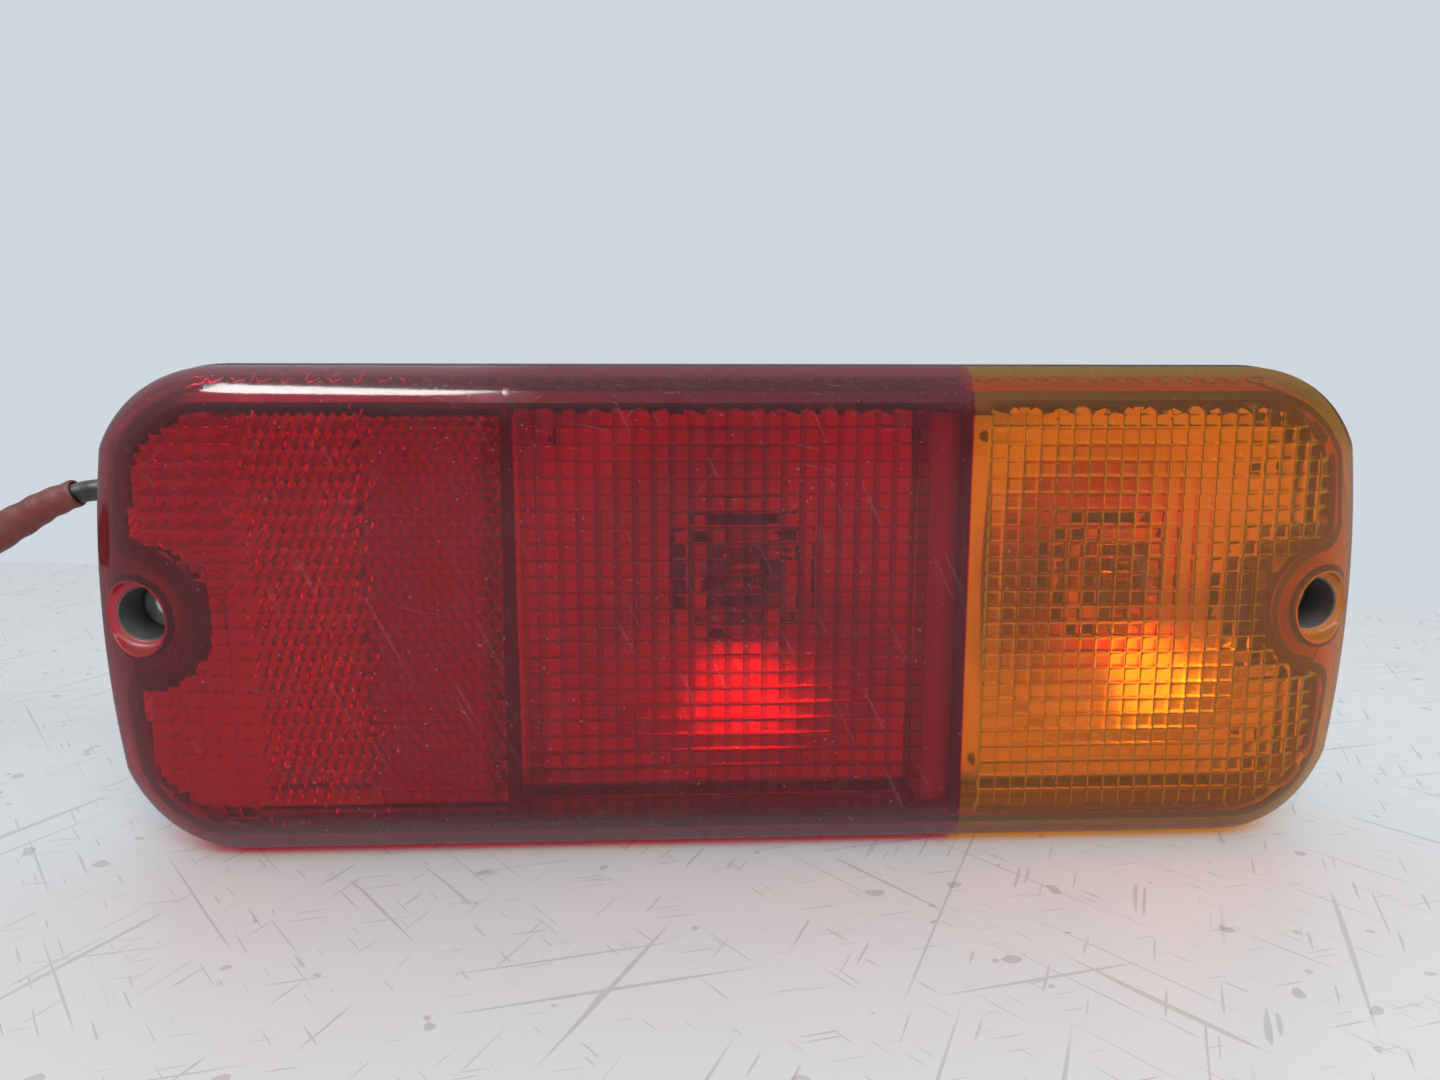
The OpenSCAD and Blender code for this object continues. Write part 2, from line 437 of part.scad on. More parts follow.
// ---------- connector ----------
cx = -226; cy = 12; cz = 6;
module connector_housing() color([0.15, 0.15, 0.15]) difference() {
  union() {
    box(cx, cx + 26, cy - 7, cy + 7, cz - 6.4, cz + 6.4);
    box(cx + 17, cx + 19, cy - 8.2, cy + 8.2, cz - 7.6, cz + 7.6);
    box(cx + 3, cx + 16, cy - 0.9, cy + 0.9, cz - 8, cz - 6.2);
    for (s=[-1, 1]) box(cx + 5, cx + 17, cy + s*4.3 - 0.7, cy + s*4.3 + 0.7, cz + 6.2, cz + 9.6);
  }
  for (p=pin_pos) translate([cx - 1, cy, cz]) box(0, 20, -p[0] - 1.7, -p[0] + 1.7, p[1] - 1.7, p[1] + 1.7);
  box(cx + 18.8, cx + 28, cy - 5.8, cy + 5.8, cz - 5.3, cz + 5.3);
}
module connector_latch() color([0.15, 0.15, 0.15]) {
  box(cx + 2, cx + 16.8, cy - 3.3, cy + 3.3, cz + 8.2, cz + 9.4);
  box(cx + 2, cx + 4, cy - 3.3, cy + 3.3, cz + 7.1, cz + 8.4);
  box(cx + 15.4, cx + 16.8, cy - 3.3, cy + 3.3, cz + 6.45, cz + 8.4);
}
module connector_seal() color([0.2, 0.35, 0.25]) difference() {
  box(cx + 20, cx + 25.4, cy - 5.6, cy + 5.6, cz - 5.1, cz + 5.1);
  for (p=pin_pos) translate([cx, cy - p[0], cz + p[1]]) rotate([0, 90, 0]) rod(wire_d/2 + 0.15, 18, 28, 24);
}
module connector_terminals() color([0.78, 0.76, 0.66]) for (p=pin_pos) translate([cx, cy - p[0], cz + p[1]]) {
  difference() { box(3, 13, -1.5, 1.5, -1.5, 1.5); box(2, 14, -1.1, 1.1, -1.1, 1.1); }
  box(12.6, 16, -0.9, 0.9, -1.5, -1.0);
  box(15.5, 19, -1.3, 1.3, -1.5, 0.6);
}

SP = [[0, pin_z], [180, pin_z + 3]];
TP = [[0, pin_z], [150, pin_z]];
rear_housing();
red_lens();
amber_lens();
lens_seal();
reflex_prism_panel();
reflex_backing_plate();
stop_reflector();
turn_reflector();
mounting_gasket();
screw_sleeves();
vent_elbows();
color([0.18, 0.18, 0.19]) holder(stop_x);  // stop_holder
color([0.75, 0.3, 0.15]) holder_seal(stop_x);  // stop_holder_seal
color([0.08, 0.08, 0.08]) holder_boot(stop_x);  // stop_holder_boot
socket_shell(stop_x, SP);  // stop_socket_shell
color([0.45, 0.25, 0.12]) contact_disc(stop_x, [-3.1, 3.1]);  // stop_contact_disc
color([0.8, 0.65, 0.3]) contacts(stop_x, [-3.1, 3.1]);  // stop_contacts
color([0.6, 0.6, 0.6]) contact_spring(stop_x);  // stop_contact_spring
bulb_glass(stop_x);  // stop_bulb_glass
bulb_cap(stop_x, SP);  // stop_bulb_cap
bulb_insulator(stop_x);  // stop_bulb_insulator
bulb_tips(stop_x, [-3.1, 3.1]);  // stop_bulb_tips
bulb_stem(stop_x);  // stop_bulb_stem
color([0.6, 0.6, 0.6]) along(stop_x, bulb_z) { lead_pair(3.4, 1.8, 0); lead_pair(3.4, -1.8, 2.4); }  // stop_bulb_leads
filament(stop_x, 3.4, 1.8, 0);  // stop_filament
filament(stop_x, 3.4, -1.8, 2.4);  // tail_filament
color([0.18, 0.18, 0.19]) holder(turn_x);  // turn_holder
color([0.75, 0.3, 0.15]) holder_seal(turn_x);  // turn_holder_seal
color([0.08, 0.08, 0.08]) holder_boot(turn_x);  // turn_holder_boot
socket_shell(turn_x, TP);  // turn_socket_shell
color([0.45, 0.25, 0.12]) contact_disc(turn_x, [0]);  // turn_contact_disc
color([0.8, 0.65, 0.3]) contacts(turn_x, [0]);  // turn_contacts
color([0.6, 0.6, 0.6]) contact_spring(turn_x);  // turn_contact_spring
bulb_glass(turn_x);  // turn_bulb_glass
bulb_cap(turn_x, TP);  // turn_bulb_cap
bulb_insulator(turn_x);  // turn_bulb_insulator
bulb_tips(turn_x, [0]);  // turn_bulb_tip
bulb_stem(turn_x);  // turn_bulb_stem
color([0.6, 0.6, 0.6]) along(turn_x, bulb_z) lead_pair(3.4, 1.2, 0);  // turn_bulb_leads
filament(turn_x, 3.4, 1.2, 0);  // turn_filament
color([0.07, 0.07, 0.07]) wire(turn_run, 0, 0.9, 0.9);  // ground_wire
color([0.1, 0.4, 0.2]) wire(turn_run, 1, -0.9, 0.9);  // turn_wire
color([0.5, 0.1, 0.1]) wire(stop_run, 2, 0.9, -0.9);  // tail_wire
color([0.7, 0.7, 0.7]) wire(stop_run, 3, -0.9, -0.9);  // stop_wire
cable_sheath();
red_sleeve();
sheath_grommet();
cable_clip();
connector_housing();
connector_latch();
connector_seal();
connector_terminals();
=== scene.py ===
import bpy, math, random
import numpy as np
from mathutils import Vector, Matrix
from mathutils.geometry import delaunay_2d_cdt


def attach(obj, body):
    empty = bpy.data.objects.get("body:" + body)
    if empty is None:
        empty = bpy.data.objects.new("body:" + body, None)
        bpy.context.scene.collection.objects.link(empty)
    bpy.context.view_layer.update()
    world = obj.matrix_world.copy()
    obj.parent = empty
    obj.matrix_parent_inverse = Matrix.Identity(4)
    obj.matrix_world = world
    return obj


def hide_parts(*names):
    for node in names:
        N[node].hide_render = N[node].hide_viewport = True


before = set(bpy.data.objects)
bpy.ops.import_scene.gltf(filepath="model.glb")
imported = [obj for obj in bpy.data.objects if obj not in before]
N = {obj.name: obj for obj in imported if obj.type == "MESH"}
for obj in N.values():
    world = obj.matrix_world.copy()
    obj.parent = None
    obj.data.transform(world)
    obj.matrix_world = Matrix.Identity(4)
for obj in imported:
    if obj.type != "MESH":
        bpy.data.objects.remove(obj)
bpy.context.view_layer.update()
rng = random.Random(7)

# ------------------------------------------------------------------ sizes, mm, as in the CAD
A0, B0, CR = 134.3, 50.7, 29.0
BOW = 206.0
RIM, FACE = -10.0, -24.0
HX, TUN = 124.0, 7.5
REFLEX, JOINT = -48.0, 45.3
P, PR = 3.35, 3.75
EAR = 11.0
LA, LB = A0 - 5.1, B0 - 4.5
STOP_X, TURN_X, BZ = 0.0, 84.0, 4.0


def wrap(x):
    u = max(abs(x) - 100.0, 0.0)
    return 60.0 - math.sqrt(3600.0 - min(u, 59.0) ** 2)


def inset(x, z):
    qx, qz = abs(x) - A0 + CR, abs(z) - B0 + CR
    rr = math.hypot(max(qx, 0), max(qz, 0)) + min(max(qx, qz), 0) - CR
    return min(-rr, A0 - BOW + math.sqrt(BOW * BOW - z * z) - abs(x))


def d_out(d):
    return 14.0 if d >= 10.5 else 4.5 + 9.5 * math.sqrt(max(0.0, 1 - ((10.5 - max(d, 0)) / 10.5) ** 2))


def d_in(d):
    return 11.4 if d >= 11.5 else 2.5 + 8.9 * math.sqrt(max(0.0, 1 - ((11.5 - max(d, 2.4)) / 9.1) ** 2))


def y_out(x, z, d=None):
    D = d_out(inset(x, z) if d is None else d)
    return RIM - 0.2 - D + wrap(x) * D / 14.0


def y_in(x, z, d=None):
    D = d_in(inset(x, z) if d is None else d)
    return RIM - 0.2 - D + wrap(x) * D / 11.4


def clampx(x, z, a):
    return math.copysign(min(abs(x), a - BOW + math.sqrt(BOW * BOW - z * z)), x)


def oval(d, n=36, e=26):
    a, b, r = A0 - d, B0 - d, max(CR - d, 0.8)
    pts = []

    def arc(q):
        for i in range(n + 1):
            t = math.radians(90 * q + 90.0 * i / n)
            sx = 1 if q in (0, 3) else -1
            sz = 1 if q < 2 else -1
            z = sz * (b - r) + r * math.sin(t)
            pts.append((clampx(sx * (a - r) + r * math.cos(t), z, a), z))

    def end(sx, z0, z1):
        for i in range(1, e):
            z = z0 + (z1 - z0) * i / e
            pts.append((sx * clampx(a, z, a), z))

    def flat(x0, x1, z):
        for i in range(1, 90):
            pts.append((x0 + (x1 - x0) * i / 90, z))

    arc(0); flat(a - r, -(a - r), b); arc(1); end(-1, b - r, -(b - r)); arc(2); flat(-(a - r), a - r, -b); arc(3); end(1, -(b - r), b - r)
    return pts


def land_path(o, n=20):
    """the closed line land(o), counter-clockwise from the top middle going to -X"""
    a, b, r = LA - o, LB - o, 24 - o
    q = [((a - r) * i / 24.0, b) for i in range(24)]
    for i in range(n + 1):
        t = math.radians(90 - 90.0 * i / n)
        z = b - r + r * math.sin(t)
        q.append((clampx(a - r + r * math.cos(t), z, a), z))
    zf, cxf = EAR + 6 + o, LA - 6.5 - o
    z0 = b - r
    for i in range(1, 6):
        z = z0 + (zf - z0) * i / 6.0
        q.append((clampx(a, z, a), z))
    for i in range(n + 1):
        t = math.radians(-90.0 * i / n)
        q.append((cxf + 6 * math.cos(t), zf + 6 * math.sin(t)))
    R = EAR + o
    t0 = math.degrees(math.acos(max(-1, min(1, (cxf - HX) / R))))
    for i in range(1, n + 9):
        t = math.radians(t0 + (180 - t0) * i / (n + 8.0))
        q.append((HX + R * math.cos(t), R * math.sin(t)))
    quarter = q                                    # +x, +z, from the top middle to the ear
    low = [(x, -z) for x, z in reversed(quarter[:-1])]
    right = quarter + low                          # top middle down the right side to the bottom middle
    left = [(-x, z) for x, z in reversed(right)][1:-1]
    return right + left


# ------------------------------------------------------------------ mesh helpers
def make(name, verts, faces, material, body="lamp", replaces=(), smooth=True, mm=True):
    me = bpy.data.meshes.new(name)
    v = np.asarray(verts, float) * (0.001 if mm else 1.0)
    me.from_pydata([tuple(p) for p in v], [], [tuple(f) for f in faces])
    me.validate()
    if smooth:
        me.polygons.foreach_set("use_smooth", [True] * len(me.polygons))
    me.materials.append(material)
    me.update()
    o = bpy.data.objects.new(name, me)
    bpy.context.scene.collection.objects.link(o)
    if body:
        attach(o, body)
    if replaces:
        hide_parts(*replaces)
    return o


def spline(a, b, c, d, t):
    return 0.5 * (2 * b + (c - a) * t + (2 * a - 5 * b + 4 * c - d) * t * t + (3 * b - a - 3 * c + d) * t ** 3)


def smooth_path(pts, n):
    Q = [np.array(p, float) for p in pts]
    out = []
    for i in range(len(Q) - 1):
        for k in range(n):
            out.append(spline(Q[max(i - 1, 0)], Q[i], Q[i + 1], Q[min(i + 2, len(Q) - 1)], k / n))
    out.append(Q[-1])
    return out


def frames(path):
    out = []
    for i in range(len(path)):
        t = path[min(i + 1, len(path) - 1)] - path[max(i - 1, 0)]
        t = t / np.linalg.norm(t)
        s = np.cross(t, [0, 0, 1.0]); s = s / np.linalg.norm(s)
        out.append((t, s, np.cross(s, t)))
    return out


def tube(path, radius, n=24, closed=True, inner=None):
    """a round sweep; radius is a number or a function of (i, angle)"""
    fr = frames(path)
    rad = radius if callable(radius) else (lambda i, a: radius)
    V, F = [], []
    for i, p in enumerate(path):
        for k in range(n):
            a = 2 * math.pi * k / n
            V.append(p + rad(i, a) * (math.cos(a) * fr[i][1] + math.sin(a) * fr[i][2]))
    m = len(path)
    for i in range(m - 1):
        for k in range(n):
            F.append((i * n + k, (i + 1) * n + k, (i + 1) * n + (k + 1) % n, i * n + (k + 1) % n))
    if inner is not None:
        w = m * n
        rin = inner if callable(inner) else (lambda i, a: inner)
        for i, p in enumerate(path):
            for k in range(n):
                a = 2 * math.pi * k / n
                V.append(p + rin(i, a) * (math.cos(a) * fr[i][1] + math.sin(a) * fr[i][2]))
        for i in range(m - 1):
            for k in range(n):
                F.append((w + i * n + k, w + i * n + (k + 1) % n, w + (i + 1) * n + (k + 1) % n, w + (i + 1) * n + k))
        for i in (0, m - 1):
            for k in range(n):
                q = (i * n + k, i * n + (k + 1) % n, w + i * n + (k + 1) % n, w + i * n + k)
                F.append(q if i == 0 else q[::-1])
    elif closed:
        F.append(tuple(range(n)))
        F.append(tuple((m - 1) * n + k for k in reversed(range(n))))
    return V, F


# ------------------------------------------------------------------ materials
class Tree:
    def __init__(self, name):
        self.m = bpy.data.materials.new(name)
        self.m.use_nodes = True
        self.t = self.m.node_tree
        self.t.nodes.clear()
        self.out = self.t.nodes.new("ShaderNodeOutputMaterial")
        self.co = self.t.nodes.new("ShaderNodeTexCoord").outputs["Object"]

    def n(self, kind, **kw):
        node = self.t.nodes.new("ShaderNode" + kind)
        for k, v in kw.items():
            if k.startswith("_"):
                setattr(node, k[1:], v)
            else:
                key = int(k[1:]) if k[0] == "i" and k[1:].isdigit() else k.replace("__", " ")
                self.put(node, key, v)
        return node

    def put(self, node, key, v):
        if hasattr(v, "is_output"):
            self.t.links.new(v, node.inputs[key])
        else:
            s = node.inputs[key]
            s.default_value = tuple(v) + (1.0,) if isinstance(v, (tuple, list)) and len(v) == 3 and s.type == "RGBA" else v

    def link(self, a, node, key):
        self.t.links.new(a, node.inputs[key])

    def noise(self, scale, detail=4.0, rough=0.55, stretch=None, dist=0.0):
        v = self.co
        if stretch:
            v = self.n("Mapping", i0=self.co, i3=stretch).outputs[0]
        return self.n("TexNoise", Vector=v, Scale=scale, Detail=detail, Roughness=rough, Distortion=dist).outputs["Fac"]

    def ramp(self, fac, stops):
        r = self.n("ValToRGB", i0=fac)
        el = r.color_ramp.elements
        while len(el) < len(stops):
            el.new(0.5)
        for e, (p, c) in zip(el, stops):
            e.position = p
            e.color = tuple(c) + (1.0,) if isinstance(c, (tuple, list)) else (c, c, c, 1.0)
        return r.outputs[0]

    def math(self, op, a, b=0.0, clamp=False):
        return self.n("Math", _operation=op, _use_clamp=clamp, i0=a, i1=b).outputs[0]

    def mixc(self, fac, a, b, mode="MIX"):
        node = self.t.nodes.new("ShaderNodeMix")
        node.data_type = "RGBA"
        node.blend_type = mode
        self.put(node, 0, fac)
        for k, v in ((6, a), (7, b)):
            self.put(node, k, v)
        return node.outputs[2]

    def bump(self, height, strength, dist, normal=None):
        kw = dict(Height=height, Strength=strength, Distance=dist)
        if normal is not None:
            kw["Normal"] = normal
        return self.n("Bump", **kw).outputs[0]

    def scratches(self, scale=60.0, thin=0.012, seed=0.0, axis="Y", ratio=0.03):
        """short straight hairlines in three directions, 1 on a line; axis is the one they turn about"""
        total = None
        for k, ang in enumerate((0.45, 1.35, 2.5)):
            rot = (0, ang, 0) if axis == "Y" else (0, 0, ang)
            size = (1.0, 1.0, ratio) if axis == "Y" else (1.0, ratio, 1.0)
            m0 = self.n("Mapping", _vector_type="POINT", i0=self.co, i1=(seed + 1.7 * k, seed, k), i2=rot)
            m1 = self.n("Mapping", i0=m0.outputs[0], i3=size)
            w = self.n("TexNoise", Vector=m1.outputs[0], Scale=scale * (1 + 0.35 * k), Detail=0.0, Roughness=0.0).outputs["Fac"]
            line = self.ramp(w, [(0.745 - thin, 0.0), (0.775 - thin, 1.0)])
            total = line if total is None else self.math("MAXIMUM", total, line)
        return total


def surface(name, color, rough=0.5, metal=0.0, var=0.12, scale=300.0, grain=1400.0, bump=0.25, depth=0.00006, dust=0.25,
            dust_col=(0.34, 0.33, 0.31), scratch=0.25, edge=0.0006, sheen=0.0, spec=0.5, stain=None, coat=0.0):
    """worn plastic, rubber or metal: colour drift at two scales, moulding grain, scratches, dust on faces that look up"""
    t = Tree(name)
    big, mid, fine = t.noise(scale * 0.12, 5), t.noise(scale, 6, 0.62), t.noise(grain, 3)
    c = Vector(color)
    lo, hi = tuple(c * (1 - var * 1.6)), tuple(min(v * (1 + var), 1.0) for v in c)
    col = t.mixc(t.math("MULTIPLY", big, 1.1, True), lo, hi)
    col = t.mixc(t.math("MULTIPLY", mid, 0.35), col, hi)
    if stain is not None:
        col = t.mixc(t.ramp(t.noise(scale * 0.3, 7, 0.7, dist=0.6), [(0.5, 0.0), (0.68, 0.75)]), col, stain)
    up = t.n("SeparateXYZ", i0=t.n("NewGeometry").outputs["Normal"]).outputs[2]
    dusty = t.math("MULTIPLY", t.math("ADD", t.math("MULTIPLY", t.math("MAXIMUM", up, 0.0), 0.75), 0.25), t.ramp(mid, [(0.35, 0.1), (0.72, 1.0)]))
    dusty = t.math("MULTIPLY", dusty, dust, True)
    col = t.mixc(dusty, col, dust_col)
    scr = t.scratches(900, 0.02)
    col = t.mixc(t.math("MULTIPLY", scr, scratch * 0.6), col, tuple(min(v * 1.8 + 0.05, 1.0) for v in c))
    r = t.math("ADD", t.math("MULTIPLY", mid, 0.22), rough - 0.11, True)
    r = t.math("ADD", r, t.math("MULTIPLY", dusty, 0.3), True)
    nrm = t.n("Bevel", _samples=3, Radius=edge).outputs[0] if edge else None
    h = t.math("ADD", fine, t.math("MULTIPLY", mid, 0.8))
    h = t.math("SUBTRACT", h, t.math("MULTIPLY", scr, 0.6))
    nm = t.bump(h, bump, depth, nrm)
    b = t.n("BsdfPrincipled", Base__Color=col, Roughness=r, Metallic=t.math("SUBTRACT", metal, t.math("MULTIPLY", dusty, metal * 0.8), True), Normal=nm)
    b.inputs["Specular IOR Level"].default_value = spec
    if sheen:
        b.inputs["Sheen Weight"].default_value = sheen
    if coat:
        b.inputs["Coat Weight"].default_value = coat
    t.link(b.outputs[0], t.out, 0)
    return t.m


def view_ray(t):
    lp = t.n("LightPath")
    return t.math("MAXIMUM", lp.outputs["Is Camera Ray"], lp.outputs["Is Transmission Ray"])


def lens_material(name, tint, body_col, dust_col, outer, body=0.15, painted_shade_and_glints=False):
    """one skin of a coloured moulding: bends what is looked at, lets light through in the tint, and carries the dust
    and wear outside, with painted shade on the faces turned up or down, a painted reflection of the floor on the
    underside and reflections painted out on the upper right; on the inner skin of the stop and reflex zones it can add
    painted cell shade, a painted star pattern and painted glints
    """
    t = Tree(name)
    mid, fine, big = t.noise(220, 6, 0.6), t.noise(1500, 2), t.noise(26, 4)
    if outer:
        scr = t.scratches(1500, -0.035, 3.0, ratio=0.035)
        h = t.math("ADD", t.math("MULTIPLY", t.noise(45, 2), 0.5), t.math("MULTIPLY", fine, 0.03))
        nm = t.bump(h, 0.08, 0.0003)
        nm = t.bump(scr, 0.25, 0.00002, nm)
        rough = t.math("ADD", t.math("MULTIPLY", mid, 0.09), 0.02, True)
    else:
        nm = t.bump(fine, 0.05, 0.00004)
        rough = t.math("ADD", t.math("MULTIPLY", mid, 0.05), 0.02, True)
    c = t.mixc(t.math("MULTIPLY", mid, 0.25), tint, tuple(v * 0.90 for v in tint))
    if painted_shade_and_glints:
        # painted shade: the groove round each pillow and a band down one side of each column in the stop zone darken
        # the tint, more so near the bulb, standing in for the dark images and edges the pillows show
        q = t.n("SeparateXYZ", i0=t.n("NewGeometry").outputs["Position"])
        gx = t.math("MULTIPLY", q.outputs[0], 1000.0)
        gz = t.math("MULTIPLY", q.outputs[2], 1000.0)
        u = t.math("FRACT", t.math("DIVIDE", t.math("SUBTRACT", gx, REFLEX + 2.4), PR))
        v = t.math("FRACT", t.math("DIVIDE", t.math("ADD", gz, 41.9), P))
        painted_column_shade = t.ramp(u, [(0.0, 1.0), (0.07, 1.0), (0.11, 0.7), (0.33, 0.7), (0.40, 0.0), (0.96, 0.0), (1.0, 1.0)])
        row = t.ramp(v, [(0.0, 0.9), (0.08, 0.9), (0.14, 0.0), (0.90, 0.0), (0.97, 0.9)])
        dx = t.math("DIVIDE", t.math("SUBTRACT", gx, STOP_X + 2.0), 44.0)
        dz = t.math("DIVIDE", t.math("SUBTRACT", gz, BZ + 6.0), 30.0)
        near = t.math("SUBTRACT", 1.0, t.math("ADD", t.math("MULTIPLY", dx, dx), t.math("MULTIPLY", dz, dz)), True)
        painted_column_shade = t.math("MULTIPLY", painted_column_shade, t.math("ADD", 0.52, t.math("MULTIPLY", near, 0.42)))
        row = t.math("MULTIPLY", row, 0.60)
        painted_cell_shade = t.math("MAXIMUM", painted_column_shade, row)
        painted_cell_shade = t.math("MULTIPLY", painted_cell_shade, t.math("GREATER_THAN", gx, REFLEX + 2.4))
        painted_cell_shade = t.math("MULTIPLY", painted_cell_shade, t.math("LESS_THAN", gx, JOINT - 8.2))
        c = t.mixc(painted_cell_shade, c, tuple(v_ * 0.16 for v_ in tint))
        # painted star pattern over the reflex zone: the tint is darkened except along fine cross lines, standing in for
        # the shade and glints of the reflector behind
        su = t.math("FRACT", t.math("DIVIDE", t.math("ADD", gx, 200.0), 1.9))
        sv = t.math("FRACT", t.math("DIVIDE", t.math("ADD", gz, 200.0), 1.9))
        painted_star_pattern = t.math("MULTIPLY", t.math("ABSOLUTE", t.math("SUBTRACT", su, 0.5)), t.math("ABSOLUTE", t.math("SUBTRACT", sv, 0.5)))
        painted_star_pattern = t.ramp(painted_star_pattern, [(0.0, 0.0), (0.012, 0.0), (0.05, 1.0)])
        painted_star_pattern = t.math("MULTIPLY", painted_star_pattern, t.math("GREATER_THAN", gx, -77.0))
        painted_star_pattern = t.math("MULTIPLY", painted_star_pattern, t.math("LESS_THAN", gx, REFLEX - 2.0))
        c = t.mixc(t.math("MULTIPLY", painted_star_pattern, 0.42), c, tuple(v_ * 0.35 for v_ in tint))
        # painted glints: small slanting bright marks scattered over the left part of the reflex zone
        lu = t.math("FRACT", t.math("DIVIDE", t.math("ADD", t.math("ADD", gx, 300.0), t.math("MULTIPLY", gz, -0.30)), 2.6))
        lv = t.math("FRACT", t.math("DIVIDE", t.math("ADD", t.math("ADD", gz, 300.0), t.math("MULTIPLY", gx, 0.5)), 2.7))
        glint = t.math("MULTIPLY", t.math("LESS_THAN", t.math("ABSOLUTE", t.math("SUBTRACT", lu, 0.5)), 0.085), t.math("LESS_THAN", t.math("ABSOLUTE", t.math("SUBTRACT", lv, 0.5)), 0.24))
        glint = t.math("MULTIPLY", glint, t.ramp(t.noise(300, 0), [(0.42, 0.0), (0.60, 1.0)]))
        glint = t.math("MULTIPLY", glint, t.math("GREATER_THAN", gx, -100.0))
        glint = t.math("MULTIPLY", glint, t.math("LESS_THAN", gx, -74.0))
    refr = t.n("BsdfRefraction", Color=c, Roughness=rough, IOR=1.49, Normal=nm)
    glos = t.n("BsdfAnisotropic", Color=(1, 1, 1), Roughness=t.math("ADD", rough, 0.05), Normal=nm)
    fres = t.n("Fresnel", IOR=1.49, Normal=nm).outputs[0]
    fres = t.math("MULTIPLY", fres, 0.55 if outer else 0.4)
    inside = refr.outputs[0]
    if outer:
        up = t.n("SeparateXYZ", i0=t.n("NewGeometry").outputs["Normal"]).outputs[2]
        px = t.n("SeparateXYZ", i0=t.n("NewGeometry").outputs["Position"]).outputs[0]
        # painted shade on the reflection: upward faces from x -56 to -40 mm rightward lose most of their reflection
        right = t.math("DIVIDE", t.math("ADD", px, 0.056), 0.016, True)
        reflection_cut = t.math("MULTIPLY", right, t.math("MULTIPLY", up, 3.0, True))
        turned = t.math("MULTIPLY", t.math("ABSOLUTE", up), 2.0, True)
        fres = t.math("MULTIPLY", fres, t.math("SUBTRACT", 1.0, t.math("MULTIPLY", reflection_cut, 0.93)))
        # painted shade: faces turned up or down get a darker tint and less of the diffuse body
        body = t.math("MULTIPLY", body, t.math("SUBTRACT", 1.0, t.math("MULTIPLY", turned, 0.70)))
        shaded_tint = t.mixc(t.math("MULTIPLY", turned, 0.6), c, tuple(v_ * 0.5 for v_ in tint))
        refr = t.n("BsdfRefraction", Color=shaded_tint, Roughness=rough, IOR=1.49, Normal=nm)
        inside = refr.outputs[0]
        own = t.n("BsdfDiffuse", Color=t.mixc(big, body_col, tuple(v * 0.8 for v in body_col)), Roughness=0.3)
        inside = t.n("MixShader", i0=body, i1=inside, i2=own.outputs[0]).outputs[0]
    a = t.n("MixShader", i0=fres, i1=inside, i2=glos.outputs[0])
    if painted_shade_and_glints:
        # a bright red diffuse painted in where the glints fall; it is not a lamp
        lit = t.n("BsdfDiffuse", Color=(0.98, 0.05, 0.09), Roughness=0.2)
        a = t.n("MixShader", i0=t.math("MULTIPLY", glint, 0.75), i1=a.outputs[0], i2=lit.outputs[0])
    if outer:
        # upward faces get dust, and downward faces get a stronger dust-coloured grey that is a painted reflection of
        # the pale floor; with it go real dust patches, scratches and specks
        top = t.math("MAXIMUM", up, t.math("MULTIPLY", up, -1.7))
        dust_and_floor_reflection = t.math("ADD", t.math("MULTIPLY", t.ramp(mid, [(0.45, 0.0), (0.85, 1.0)]), 0.020), t.math("MULTIPLY", big, 0.026))
        dust_and_floor_reflection = t.math("ADD", dust_and_floor_reflection, t.math("MULTIPLY", top, 0.17))
        dust_and_floor_reflection = t.math("ADD", dust_and_floor_reflection, t.math("MULTIPLY", scr, 0.07), True)
        spk = t.ramp(t.noise(1300, 0), [(0.835, 0.0), (0.86, 1.0)])
        dust_and_floor_reflection = t.math("ADD", dust_and_floor_reflection, t.math("MULTIPLY", spk, 0.18), True)
        dif = t.n("BsdfDiffuse", Color=dust_col, Roughness=0.5)
        a = t.n("MixShader", i0=dust_and_floor_reflection, i1=a.outputs[0], i2=dif.outputs[0])
    tr = t.n("BsdfTransparent", Color=c)
    mix = t.n("MixShader", i0=view_ray(t), i1=tr.outputs[0], i2=a.outputs[0])
    t.link(mix.outputs[0], t.out, 0)
    return t.m


def glass(name, tint=(1, 1, 1), rough=0.02, smoke=0.0):
    t = Tree(name)
    mid = t.noise(260, 5)
    refr = t.n("BsdfRefraction", Color=tint, Roughness=rough, IOR=1.12, Normal=t.bump(mid, 0.06, 0.0002))
    glos = t.n("BsdfAnisotropic", Color=(1, 1, 1), Roughness=t.math("ADD", t.math("MULTIPLY", mid, 0.08), 0.02))
    a = t.n("MixShader", i0=t.n("Fresnel", IOR=1.5).outputs[0], i1=refr.outputs[0], i2=glos.outputs[0])
    dif = t.n("BsdfDiffuse", Color=(0.3, 0.28, 0.26))
    a = t.n("MixShader", i0=t.math("MULTIPLY", t.ramp(mid, [(0.45, 0.0), (0.8, 1.0)]), 0.05 + smoke), i1=a.outputs[0], i2=dif.outputs[0])
    tr = t.n("BsdfTransparent", Color=tint)
    mix = t.n("MixShader", i0=view_ray(t), i1=tr.outputs[0], i2=a.outputs[0])
    t.link(mix.outputs[0], t.out, 0)
    return t.m


